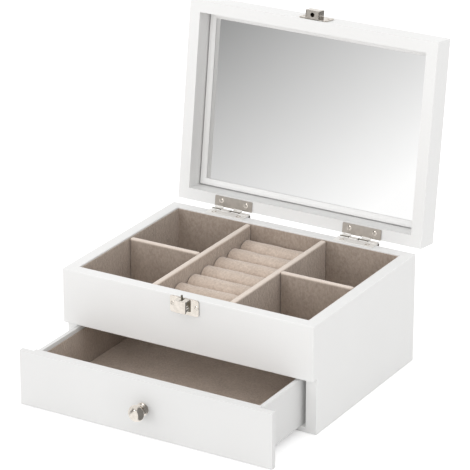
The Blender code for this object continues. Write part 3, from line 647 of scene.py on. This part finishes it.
def buildLid():
    front, back = nodeBox("lid_rail_front", True), nodeBox("lid_rail_back", True)
    left, right = nodeBox("lid_rail_left", True), nodeBox("lid_rail_right", True)
    panel = nodeBox("lid_panel", True)
    lap = lid["lap"]
    top = panel[0][2] + lap
    boxes = [panel]
    for low, high in (front, back):
        boxes.append((low, [high[0], high[1], top]))
    for low, high in (left, right):
        boxes.append(([low[0], low[1] - lap, low[2]], [high[0], high[1] + lap, top]))
    joinedBoards("paintedLid", boxes, lid["edge"], lidPaint, "lid",
                 ["lid_rail_front", "lid_rail_back", "lid_rail_left", "lid_rail_right", "lid_panel"],
                 place=openLid)
    low, high = nodeBox("mirror", True)
    makePiece("mirrorGlass", [slab(low, high, lid["glassEdge"])], mirrorSilver, "lid", ["mirror"],
              place=openLid)
    low, high = nodeBox("mirror_bead", True)
    makePiece("mirrorBead", [beadSurface(low, high)], beadPaint, "lid", ["mirror_bead"], place=openLid)


def beadSurface(low, high):
    # a low, flat bead whose inner half rolls down to the glass, carried round the mirror with
    # mitred corners
    width, tall = lid["beadWidth"], high[2] - low[2]
    outline = rounded([(0, tall), (0, tall * 0.3), (width * 0.12, 0), (width * 0.55, tall * 0.05),
                       (width * 0.86, tall * 0.40), (width, tall * 0.75), (width, tall)],
                      lid["beadRound"], 4)
    base = roundedPath(low[:2], high[:2], 1e-5, 1)[0]
    corner = np.sign(base - (low[:2] + high[:2]) / 2)
    flat = base[None] - outline[:, 0][:, None, None] * corner[None]
    height = np.broadcast_to((low[2] + outline[:, 1])[:, None, None], flat.shape[:2] + (1,))
    return closedGrid(np.concatenate([flat, height], axis=2), loopRows=True)


buildLid()
print("lid built")

# screws, hinges, catch and knob

screw = {
    "rise": 0.00045,
    "rings": 12,
    "rim": 0.0001,
    "neck": 0.0008,
    "shank": 0.45,           # shank radius, in head radii
    "shankLength": 0.8,
    "tip": 0.0002,
    "crossTurn": 0.5,
    "crossWidth": 0.00042,
    "crossDepth": 0.00055,
    "crossReach": 0.62,      # in head radii
    "crossSoft": 0.00007,
}

hinge = {
    "corner": 0.0008,
    "edge": 0.00018,
    "pinFit": 0.00006,
    "relief": 0.0006,        # leaf plate's end in front of the barrel
    "lidReach": 0.2,         # how far past the pin the lid's sheet runs, in barrel radii
    "webDrop": 0.0001,
    "knuckles": 4,
    # painted shadow lines low on the front of the lid's knuckles
    "seamWidth": 0.0010,
    "seamAngle": 33,
    "seamEdge": 0.0001,
    # dark rings in the gaps between knuckles: painted shadow where the gaps fall in shade
    "washer": 0.00045,
    "washerDrop": 0.0001,
    "washerBore": 0.9,       # in pin radii
    "pinEase": 0.0004,
    "pinRound": 0.0003,
    "tubeEase": 0.00025,
    "tubeRound": 0.00012,
    "recess": 0.00028,       # leaf face below the screw heads, which stay clear when the lid is shut
    "headRise": 0.00003,
    "knuckleGap": 0.00045,   # each side of every knuckle
    "sheet": 0.0008,
}


def screwSurface(node, axis, sign, onLid=False, rise=screw["rise"], drop=0):
    # a domed screw with a cross sunk into its head and a shank below it
    low, high = nodeBox(node, onLid)
    centre = (low + high) / 2
    others = [index for index in (0, 1, 2) if index != axis]
    radius = (high - low)[others].min() / 2
    centre[axis] = high[axis] if sign > 0 else low[axis]
    length = high[axis] - low[axis]
    dome = np.linspace(0, 1, screw["rings"])
    top = np.stack([radius * dome, (rise + drop) * (1 - dome ** 2) - drop], axis=1)
    thin = radius * screw["shank"]
    shank = [(radius, -drop - screw["rim"]), (thin, -screw["neck"]),
             (thin, -length * screw["shankLength"]), (0, -length + screw["tip"])]
    profile = np.concatenate([top, shank])

    def cross(distance, angle):
        turn = angle - screw["crossTurn"]
        across = np.minimum(np.abs(distance * np.sin(turn)), np.abs(distance * np.cos(turn)))
        inSlot = 1 / (1 + np.exp((across - screw["crossWidth"]) / screw["crossSoft"]))
        inside = 1 / (1 + np.exp((distance - radius * screw["crossReach"]) / screw["crossSoft"]))
        onHead = (profile[:, 1] >= -drop)[:, None]
        return -screw["crossDepth"] * inSlot * inside * onHead

    points, faces = turned(profile, (0, 0, 0), axis, 48, cross)
    if sign < 0:
        points[:, axis] *= -1
    return points + centre, faces


def tube(x0, x1, outer, inner, centre, steps=40):
    # a knuckle: a ring section with eased ends, swept about the pin
    ease = min(hinge["tubeEase"], (x1 - x0) * 0.3)
    profile = [(inner, x0), (outer - ease, x0), (outer, x0 + ease), (outer, x1 - ease),
               (outer - ease, x1), (inner, x1), (inner, x0)]
    return turned(rounded(profile, hinge["tubeRound"]), (0, centre[1], centre[2]), 0, steps)


def shadowLineSurface(x0, x1, outer):
    # painted shadow: a dark strip low on the front of the shut barrel, standing in for the shade under each
    # lid knuckle where its rolled sheet ends
    half = hinge["seamWidth"] / 2
    angle = math.radians(hinge["seamAngle"])
    y = lidPin[1] - math.cos(angle) * (outer - half * 0.5)
    z = lidPin[2] - math.sin(angle) * (outer - half * 0.5)
    return slab((x0, y - half, z - half), (x1, y + half, z + half), hinge["seamEdge"], axis=0)


def buildHinge(side):
    boxLeaf, lidLeaf = f"hinge_{side}_box_leaf", f"hinge_{side}_lid_leaf"
    pin = f"hinge_{side}_pin"
    pinLow, pinHigh = nodeBox(pin)
    inner = (pinHigh[2] - pinLow[2]) / 2 + hinge["pinFit"]
    outer = nodeBox(boxLeaf)[1][1] - lidPin[1]
    count = hinge["knuckles"]
    length = (pinHigh[0] - pinLow[0]) / count
    gap = hinge["knuckleGap"]
    faceDrop = hinge["recess"]
    relief = lidPin[1] - outer - hinge["relief"]
    for owner, node, body, isLid in ((1, boxLeaf, "case", False), (0, lidLeaf, "lid", True)):
        low, high = nodeBox(node, isLid)
        plateLow = high[2] - hinge["sheet"]
        leafLow, leafHigh = (plateLow + faceDrop, high[2]) if isLid else (plateLow, high[2] - faceDrop)
        shells = [slab((pinLow[0], low[1], leafLow), (pinHigh[0], relief, leafHigh), hinge["edge"],
                       hinge["corner"])]
        knuckles = []
        for index in range(owner, count, 2):
            x0, x1 = pinLow[0] + index * length + gap, pinLow[0] + (index + 1) * length - gap
            reach = lidPin[1] + (outer * hinge["lidReach"] if isLid else 0)
            sheetBack = relief - hinge["relief"]
            knuckles.append(slab((x0, sheetBack, plateLow), (x1, reach, high[2]), hinge["edge"]))
            if isLid:
                web = outer / 2
                webTop = high[2] - hinge["webDrop"]
                knuckles.append(slab((x0, lidPin[1] - web, lidPin[2] + web), (x1, reach, webTop),
                                     hinge["edge"]))
            knuckles.append(tube(x0, x1, outer, inner, lidPin))
        name = f"{'lid' if isLid else 'case'}Leaf{side.capitalize()}"
        place = openLid if isLid else None
        makePiece(name, shells, satinNickel if isLid else brightNickel, body, [node], place=place, sharp=40)
        extraMetal(f"{name}Knuckles", knuckles, brightNickel, body, 40, place)
        for number in (1, 2):
            screwNode = f"hinge_{side}_{'lid' if isLid else 'box'}_screw_{number}"
            surface = screwSurface(screwNode, 2, -1 if isLid else 1, isLid, hinge["headRise"], faceDrop)
            makePiece(f"{name}Screw{number}", [surface], polishedNickel, body, [screwNode], sharp=50,
                      place=place)
    # painted shadow under each lid knuckle
    shadowLines = [shadowLineSurface(pinLow[0] + index * length + gap, pinLow[0] + (index + 1) * length - gap, outer)
             for index in range(0, count, 2)]
    extraMetal(f"knuckleShadowLine{side.capitalize()}", shadowLines, darkSteel, "lid", place=openLid)
    ease = hinge["pinEase"]
    radius = (pinHigh[2] - pinLow[2]) / 2
    profile = rounded([(0, pinLow[0]), (radius - ease, pinLow[0]), (radius, pinLow[0] + ease),
                       (radius, pinHigh[0] - ease), (radius - ease, pinHigh[0]), (0, pinHigh[0])],
                      hinge["pinRound"])
    # painted shadow: a thin dark ring in each gap between knuckles, threaded on the pin
    half = hinge["washer"] / 2
    rim, bore = outer - hinge["washerDrop"], radius * hinge["washerBore"]
    seats = [pinLow[0] + index * length for index in range(1, count)]
    gapShadows = [tube(seat - half, seat + half, rim, bore, lidPin) for seat in seats]
    makePiece(f"hingePin{side.capitalize()}",
              [turned(profile, (0, lidPin[1], lidPin[2]), 0, 32)] + gapShadows, darkSteel, "case", [pin])


for side in ("left", "right"):
    buildHinge(side)
print("hinges built")

catch = {
    "sheet": 0.0008,
    "edge": 0.0002,
    "corner": 0.002,
    "sideReturn": 0.0016,   # how far the lever's sides fold back
    "seatMargin": 0.0007,   # painted shadow: a dark sheet round the lever, where the plate is in shade
    "springRadius": 0.0011,
    "springWire": 0.00022,
    "springTurns": 6,
    "springLength": 0.0026,
    "pinRound": 0.0002,
    "topDrop": 0.0004,      # lever top below the plate's top
    "lap": 0.0004,
    "earSpan": (0.0030, 0.0038),
    "earEdge": 0.0001,
    "earCorner": 0.0008,
    "earBelow": 0.0014,
    "earAbove": 0.0022,
    "seatDepth": (0.00012, 0.0001),
    "seatEdge": 0.00005,
    "seatCorner": 0.0008,
}

lever = {
    "sheet": 0.0009,
    "frontEdge": 0.00022,
    "frontCorner": 0.0006,
    "sideEdge": 0.0002,
    "sideLift": 0.0004,
    "step": 0.0002,         # folds start this far behind the front
    "pinReach": 0.0016,
    "pinHalf": 0.0012,
    "slotHalf": 0.0011,
    "nibHalf": 0.0007,
    "nibEdge": 0.00025,
    "nibStart": 0.0008,
    "nibPlace": 0.52,       # share of the way from the front to the back
    # the hook block is a real hook made wide enough to fill the lever's inside, so its dark steel stands in
    # for the shade there
    "hookHalf": 0.0028,
    "hookFront": 0.0012,
    "hookBack": 0.0004,
    "hookLow": 0.0002,
    "hookDrop": 0.0016,
    "hookEdge": 0.0003,
}

keeper = {
    "half": 0.0064,
    "wall": 0.001,
    "tall": 0.0085,
    "plateRise": 0.0008,
    "lap": 0.0004,
    "edge": 0.0002,
    "corner": 0.0007,
    "inset": 0.0001,
    "topStep": 0.0002,
    "hole": 0.0018,
    "holeBack": 0.0037,
}


def coil(centre, radius, wire, turns, length):
    # a wire circle carried along a helix about X
    along = np.linspace(0, 1, turns * 24 + 1)
    angle = along * turns * 2 * math.pi
    spine = np.stack([(along - 0.5) * length, radius * np.cos(angle), radius * np.sin(angle)], axis=1)
    outward = np.stack([0 * angle, np.cos(angle), np.sin(angle)], axis=1)
    sideways = np.tile([1.0, 0, 0], (len(angle), 1))
    around = np.linspace(0, 2 * math.pi, 9)[:-1]
    points = (spine[:, None] + wire * (np.cos(around)[None, :, None] * outward[:, None]
                                       + np.sin(around)[None, :, None] * sideways[:, None]))
    return closedGrid(points + np.asarray(centre))


def buildCatch():
    low, high = nodeBox("catch_plate")
    plateFront = nodeBox("catch_plate_screw_1")[0][1]
    sheet = catch["sheet"]
    shells = [slab((low[0], plateFront, low[2]), (high[0], plateFront + sheet, high[2]), catch["edge"],
                   catch["corner"], axis=1)]
    leverLow, leverHigh = nodeBox("catch_lever")
    leverTop = high[2] - catch["topDrop"]
    for side in (-1, 1):  # ears that hold the lever's pin
        ends = sorted(side * x for x in catch["earSpan"])
        shells.append(slab((ends[0], low[1], leverPin[2] - catch["earBelow"]),
                           (ends[1], plateFront + catch["lap"], leverPin[2] + catch["earAbove"]),
                           catch["earEdge"], catch["earCorner"], axis=0))
    makePiece("catchPlate", shells, polishedNickel, "case", ["catch_plate"], sharp=40)
    # painted shadow round the lever: a thin dark sheet on the plate's front where only shade falls
    margin = catch["seatMargin"]
    ahead, behind = catch["seatDepth"]
    seat = slab((leverLow[0] - margin, plateFront - ahead, leverLow[2] - margin * 0.5),
                (leverHigh[0] + margin, plateFront + behind, leverTop), catch["seatEdge"],
                catch["seatCorner"], axis=1)
    extraMetal("catchSeat", [seat], darkSteel, "case")
    for number in (1, 2):
        makePiece(f"catchPlateScrew{number}", [screwSurface(f"catch_plate_screw_{number}", 1, -1)],
                  polishedNickel, "case", [f"catch_plate_screw_{number}"], sharp=50)
    buildLever(leverLow, leverHigh, leverTop)
    pinLow, pinHigh = nodeBox("catch_pin")
    radius = (pinHigh[2] - pinLow[2]) / 2
    profile = rounded([(0, pinLow[0]), (radius, pinLow[0]), (radius, pinHigh[0]), (0, pinHigh[0])],
                      catch["pinRound"])
    makePiece("catchPin", [turned(profile, (0, leverPin[1], leverPin[2]), 0, 24)], polishedNickel, "case",
              ["catch_pin"])


def buildLever(low, high, top):
    # a front plate, a top fold with a slot and narrow side returns; the spring and a dark hook block sit
    # inside, the block filling the lever's inside as painted shade
    sheet = lever["sheet"]
    foldStart, foldEnd = low[1] + lever["step"], low[1] + catch["sideReturn"]
    backY = high[1]
    shells = [slab(low, (high[0], low[1] + sheet, top), lever["frontEdge"], lever["frontCorner"], axis=1)]
    for side in (-1, 1):
        ends = sorted((side * high[0], side * (high[0] - sheet)))
        shells.append(slab((ends[0], foldStart, low[2] + lever["sideLift"]),
                           (ends[1], foldEnd, top - lever["step"]), lever["sideEdge"]))
        shells.append(slab((ends[0], foldStart, leverPin[2] - lever["pinHalf"]),
                           (ends[1], leverPin[1] + lever["pinReach"], leverPin[2] + lever["pinHalf"]),
                           lever["sideEdge"]))
        ends = sorted((side * high[0], side * lever["slotHalf"]))
        shells.append(slab((ends[0], foldStart, top - sheet), (ends[1], backY, top), lever["frontEdge"]))
    shells.append(slab((-high[0], foldStart, top - sheet), (high[0], foldEnd, top), lever["frontEdge"]))
    makePiece("catchLever", shells, polishedNickel, "catch_lever", ["catch_lever"], sharp=40)
    nibY = low[1] + (backY - low[1]) * lever["nibPlace"]
    half, hookHalf = lever["nibHalf"], lever["hookHalf"]
    # the dark nib and the hook block; the block doubles as painted shade inside the lever
    post = [slab((-half, nibY - half, leverPin[2] + lever["nibStart"]), (half, nibY + half, high[2]),
                 lever["nibEdge"]),
            slab((-hookHalf, low[1] + lever["hookFront"], leverPin[2] + lever["hookLow"]),
                 (hookHalf, backY - lever["hookBack"], top - lever["hookDrop"]), lever["hookEdge"])]
    extraMetal("catchHook", post, darkSteel, "catch_lever", 40)
    wound = coil((0, leverPin[1], leverPin[2]), catch["springRadius"], catch["springWire"],
                 catch["springTurns"], catch["springLength"])
    extraMetal("catchSpring", [wound], darkSteel, "catch_lever", 50)


def buildKeeper():
    # a plate and a boxed housing on the lid's front, with a hole underneath for the nib
    low, high = nodeBox("catch_keeper", True)
    plateFront = nodeBox("catch_keeper_screw_1", True)[0][1]
    half, wall, inset, edge = keeper["half"], keeper["wall"], keeper["inset"], keeper["edge"]
    shells = [slab((low[0], plateFront, low[2] + keeper["plateRise"]),
                   (high[0], plateFront + catch["sheet"], high[2]), catch["edge"], catch["corner"], axis=1)]
    top = low[2] + keeper["tall"]
    back = plateFront + keeper["lap"]
    for side in (-1, 1):
        ends = sorted((side * half, side * (half - wall)))
        shells.append(slab((ends[0], low[1], low[2]), (ends[1], back, top), edge, keeper["corner"], axis=0))
    shells.append(slab((-half + inset, low[1], low[2] + inset),
                       (half - inset, low[1] + wall, top - inset), edge))
    shells.append(slab((-half + inset, low[1] + keeper["topStep"], top - wall),
                       (half - inset, back, top - inset), edge))
    shells.append(holedShelf((-half, low[1], low[2]), (half, back, low[2] + wall),
                             low[1] + keeper["holeBack"], keeper["hole"]))
    makePiece("catchKeeper", shells, polishedNickel, "lid", ["catch_keeper"], place=openLid, sharp=40)
    for number in (1, 2):
        node = f"catch_keeper_screw_{number}"
        makePiece(f"catchKeeperScrew{number}", [screwSurface(node, 1, -1, True)], polishedNickel, "lid",
                  [node], place=openLid, sharp=50)


def holedShelf(low, high, middleY, hole):
    # a plate with a round hole: each ring of the grid blends from the hole to the plate's outline
    angle = np.linspace(0, 2 * math.pi, 96, endpoint=False)
    way = np.stack([np.cos(angle), np.sin(angle)], axis=1)
    centre = np.array([(low[0] + high[0]) / 2, middleY])
    room = np.array([[high[0] - centre[0], centre[0] - low[0]], [high[1] - middleY, middleY - low[1]]])
    limit = np.where(way > 0, room[:, 0][None], room[:, 1][None])
    reach = (limit / np.maximum(np.abs(way), 1e-9)).min(axis=1)
    thick = high[2] - low[2]
    ring = [(0, 0.15), (0, 0.85), (0.03, 1), (0.97, 1), (1, 0.85), (1, 0.15), (0.97, 0), (0.03, 0)]
    share = np.array(ring)[:, 0][:, None]
    height = low[2] + np.array(ring)[:, 1][:, None] * thick + 0 * angle[None]
    distance = hole + (reach[None] - hole) * share
    flat = centre[None, None] + distance[:, :, None] * way[None]
    return closedGrid(np.concatenate([flat, height[:, :, None]], axis=2), loopRows=True)


buildCatch()
buildKeeper()
print("catch built")

# the drawer and its knob

drawer = {
    "edge": 0.0006,
    "lap": 0.0006,
}


def buildDrawer():
    front, inner = nodeBox("drawer_front"), nodeBox("drawer_box_front")
    left, right = nodeBox("drawer_side_left"), nodeBox("drawer_side_right")
    back, base = nodeBox("drawer_back"), nodeBox("drawer_bottom")
    lap = drawer["lap"]
    boxes = [front, (inner[0] - [0, lap, 0], inner[1])]
    for low, high in (left, right):
        boxes.append((low - [0, lap, 0], high))
    boxes.append((back[0] - [lap, 0, 0], back[1] + [lap, 0, 0]))
    boxes.append((base[0] - [lap, lap, 0], base[1] + [lap, lap, 0]))
    joinedBoards("paintedDrawer", boxes, drawer["edge"], drawerPaint, "drawer",
                 ["drawer_front", "drawer_box_front", "drawer_side_left", "drawer_side_right",
                  "drawer_back", "drawer_bottom"])
    low, high = nodeBox("drawer_wall_lining")
    makePiece("drawerWallVelvet", [liningWall(low, high)], velvetCloth, "drawer", ["drawer_wall_lining"])
    makePiece("drawerFloorVelvet", [slab(*nodeBox("drawer_floor_lining"), tray["floorEdge"])],
              velvetFloor, "drawer", ["drawer_floor_lining"])


knob = {
    "faceDome": 0.0005,
    "faceShare": 0.64,
    "steps": 96,
    "rim": [(0.90, 0.0021), (1.0, 0.0036), (1.0, 0.0050), (0.80, 0.0068)],  # radius share, depth
    "rimRound": 0.0009,
    "neck": [(0.0034, 0.0020), (0.0030, 0.0008), (0.0030, 0)],  # radius, distance from the back
    "base": [(0.62, 0), (0.80, 0.0012), (1.0, 0.0016)],         # radius share, depth
    "baseRound": 0.0006,
}


def buildKnob():
    headLow, headHigh = nodeBox("knob_head")
    baseLow, baseHigh = nodeBox("knob_base")
    centreX, centreZ = (headLow[0] + headHigh[0]) / 2, (headLow[2] + headHigh[2]) / 2
    radius = (headHigh[0] - headLow[0]) / 2
    front, back = headLow[1], headHigh[1]
    face = radius * knob["faceShare"]
    share = np.linspace(0, 1, 9)
    dome = [(face * s, front + knob["faceDome"] * s * s) for s in share]
    rim = [(radius * s, front + depth) for s, depth in knob["rim"]]
    neck = [(r, back - depth) for r, depth in knob["neck"]]
    outline = rounded([dome[-1]] + rim + neck + [(0, back)], knob["rimRound"], 5)
    profile = np.concatenate([np.array(dome), outline[1:]])
    makePiece("knobHead", [turned(profile, (centreX, 0, centreZ), 1, knob["steps"])], polishedNickel,
              "drawer", ["knob_head"], sharp=60)
    radius = (baseHigh[0] - baseLow[0]) / 2
    plinth = [(radius * s, baseLow[1] + depth) for s, depth in knob["base"]]
    profile = rounded([(0, baseLow[1])] + plinth + [(radius, baseHigh[1]), (0, baseHigh[1])],
                      knob["baseRound"], 4)
    makePiece("knobBase", [turned(profile, (centreX, 0, centreZ), 1, knob["steps"])], polishedNickel,
              "drawer", ["knob_base"], sharp=60)


buildDrawer()
buildKnob()
print("drawer and knob built")

# CAD pieces that stay, with a real finish

keptFinish = {"tray_floor": endPaint, "knob_screw": satinNickel}
for node, material in keptFinish.items():
    mesh = frame["nodes"][node].data
    mesh.materials.clear()
    mesh.materials.append(material)

# studio

studio = {
    "floorSize": 9.0,
    "floorAlbedo": 0.90,
    "cameraLift": 0.30,
    "skyDiffuse": 1.12,
    "keyWatts": 5,
    "keyPlace": (-0.8, -2.3, 0.8),
    "keySize": 0.8,
    "sweepLevel": 0.75,     # light in the mirror's middle, and how fast it grows with direction
    "sweepAcross": 7.0,
    "sweepDown": 5.9,
    "sweepDark": 0.12,
    "sweepBright": 1.08,
    "roomBright": 0.95,
    "overhead": (0.45, 0.70),    # where each bright side of the room starts and is full
    "left": (-0.60, -0.80),
    "behind": (0.7, 1.0),
    "flag": (0.02, 0.26),
    "flagShade": 0.22,
    "aim": (0, 0, 0.1),
}


def buildFloor():
    # a pale floor: plain diffuse for the light, with a small glow that only the camera sees
    half = studio["floorSize"] / 2
    points = [(-half, -half, 0), (half, -half, 0), (half, half, 0), (-half, half, 0)]
    mesh = bpy.data.meshes.new("floor")
    mesh.from_pydata(points, [], [(0, 1, 2, 3)])
    floor = addObject("floor", mesh)
    floor.visible_glossy = False
    material = bpy.data.materials.new("floorPaper")
    material.use_nodes = True
    tree = material.node_tree
    tree.nodes.clear()
    diffuse = makeNode(tree, "BsdfDiffuse", {"Color": (*(studio["floorAlbedo"],) * 3, 1)}).outputs[0]
    lift = makeNode(tree, "Emission", {"Strength": studio["cameraLift"]})
    both = makeNode(tree, "AddShader", {0: diffuse, 1: lift.outputs[0]}).outputs[0]
    rays = makeNode(tree, "LightPath")
    seen = chooseShader(tree, rays.outputs["Is Camera Ray"], diffuse, both)
    makeNode(tree, "OutputMaterial", {"Surface": seen})
    mesh.materials.append(material)


def mirrorLooksTo():
    # the direction in which the middle of the open lid's mirror sends the camera's view
    low, high = nodeBox("mirror")
    sight = (low + high) / 2 - np.array(camera["place"])
    sight /= np.linalg.norm(sight)
    outward = openLid(lidPin + [0, 0, -1]) - lidPin
    return sight - 2 * sight.dot(outward) * outward


def buildWorld():
    # white to the eye and an even sky for the light; metal and glass see a studio sweep that
    # brightens steadily to the right and downwards, a bright room overhead, behind and to the
    # left, and a dark flag on the right
    world = bpy.data.worlds.new("studio")
    bpy.context.scene.world = world
    world.use_nodes = True
    tree = world.node_tree
    tree.nodes.clear()
    rays = makeNode(tree, "LightPath")

    def background(strength):
        return makeNode(tree, "Background", {"Color": (1, 1, 1, 1), "Strength": strength}).outputs[0]

    def brighter(first, second):
        return mathNode(tree, "MAXIMUM", first, second)

    where = makeNode(tree, "TexCoord")
    parts = makeNode(tree, "SeparateXYZ", {0: where.outputs["Generated"]})
    dark, level, bright = studio["sweepDark"], studio["sweepLevel"], studio["sweepBright"]
    across, fall = studio["sweepAcross"], -studio["sweepDown"] / studio["sweepAcross"]
    middle = mirrorLooksTo()
    start = middle[0] + fall * middle[2]
    slope = addNode(tree, parts.outputs["X"], parts.outputs["Z"], fall)
    sweep = rangeNode(tree, slope, start - (level - dark) / across, start + (bright - level) / across,
                      dark, bright)
    full = studio["roomBright"]
    overhead = rangeNode(tree, parts.outputs["Z"], *studio["overhead"], dark, full)
    left = rangeNode(tree, parts.outputs["X"], *studio["left"], dark, full)
    backward = addNode(tree, parts.outputs["Y"], parts.outputs["X"], -1)
    behind = rangeNode(tree, backward, *studio["behind"], dark, full)
    room = brighter(brighter(sweep, left), brighter(overhead, behind))
    shade = rangeNode(tree, parts.outputs["X"], *studio["flag"], 1, studio["flagShade"])
    room = mathNode(tree, "MULTIPLY", room, shade)
    sky = background(studio["skyDiffuse"])
    light = chooseShader(tree, rays.outputs["Is Glossy Ray"], sky, background(room))
    light = chooseShader(tree, rays.outputs["Is Transmission Ray"], light, background(1.0))
    light = chooseShader(tree, rays.outputs["Is Camera Ray"], light, background(1.0))
    makeNode(tree, "OutputWorld", {"Surface": light})


def facing(side, up, away, place):
    return Matrix([[side[i], up[i], away[i], place[i]] for i in range(3)] + [[0, 0, 0, 1]])


def areaLamp(name, place, aim, size, watts):
    lamp = bpy.data.lights.new(name, "AREA")
    lamp.shape = "DISK"
    lamp.size = size
    lamp.energy = watts
    holder = addObject(name, lamp)
    away = np.asarray(place, float) - np.asarray(aim, float)
    away /= np.linalg.norm(away)
    side = np.cross((0, 0, 1), away)
    side /= np.linalg.norm(side)
    up = np.cross(away, side)
    holder.matrix_world = facing(side, up, away, place)


camera = {
    "place": (1.0814, -1.8454, 0.9828),
    "azimuth": 30.48,
    "elevation": 22.04,
    "lens": 220.39,
    "sensor": 36,
    "clip": (0.05, 50),
}


def buildCamera():
    turn, lift = math.radians(camera["azimuth"]), math.radians(camera["elevation"])
    side = (math.cos(turn), math.sin(turn), 0)
    up = (-math.sin(turn) * math.sin(lift), math.cos(turn) * math.sin(lift), math.cos(lift))
    away = (math.sin(turn) * math.cos(lift), -math.cos(turn) * math.cos(lift), math.sin(lift))
    eye = bpy.data.cameras.new("camera")
    eye.lens = camera["lens"]
    eye.sensor_width = camera["sensor"]
    eye.clip_start, eye.clip_end = camera["clip"]
    holder = addObject("camera", eye)
    holder.matrix_world = facing(side, up, away, camera["place"])
    bpy.context.scene.camera = holder


# the mirror shows the sweep, the lid's own rim, the case's hinge parts and the knob
for body in ("case", "drawer", "catch_lever"):
    for piece in ridersOf[body]:
        piece.visible_glossy = piece.name.startswith(("caseLeaf", "hingePin", "knob"))
for node in keptFinish:
    frame["nodes"][node].visible_glossy = False
buildFloor()
buildWorld()
areaLamp("keyLamp", studio["keyPlace"], studio["aim"], studio["keySize"], studio["keyWatts"])
buildCamera()
bpy.context.scene.view_settings.view_transform = "Standard"
print("studio ready")
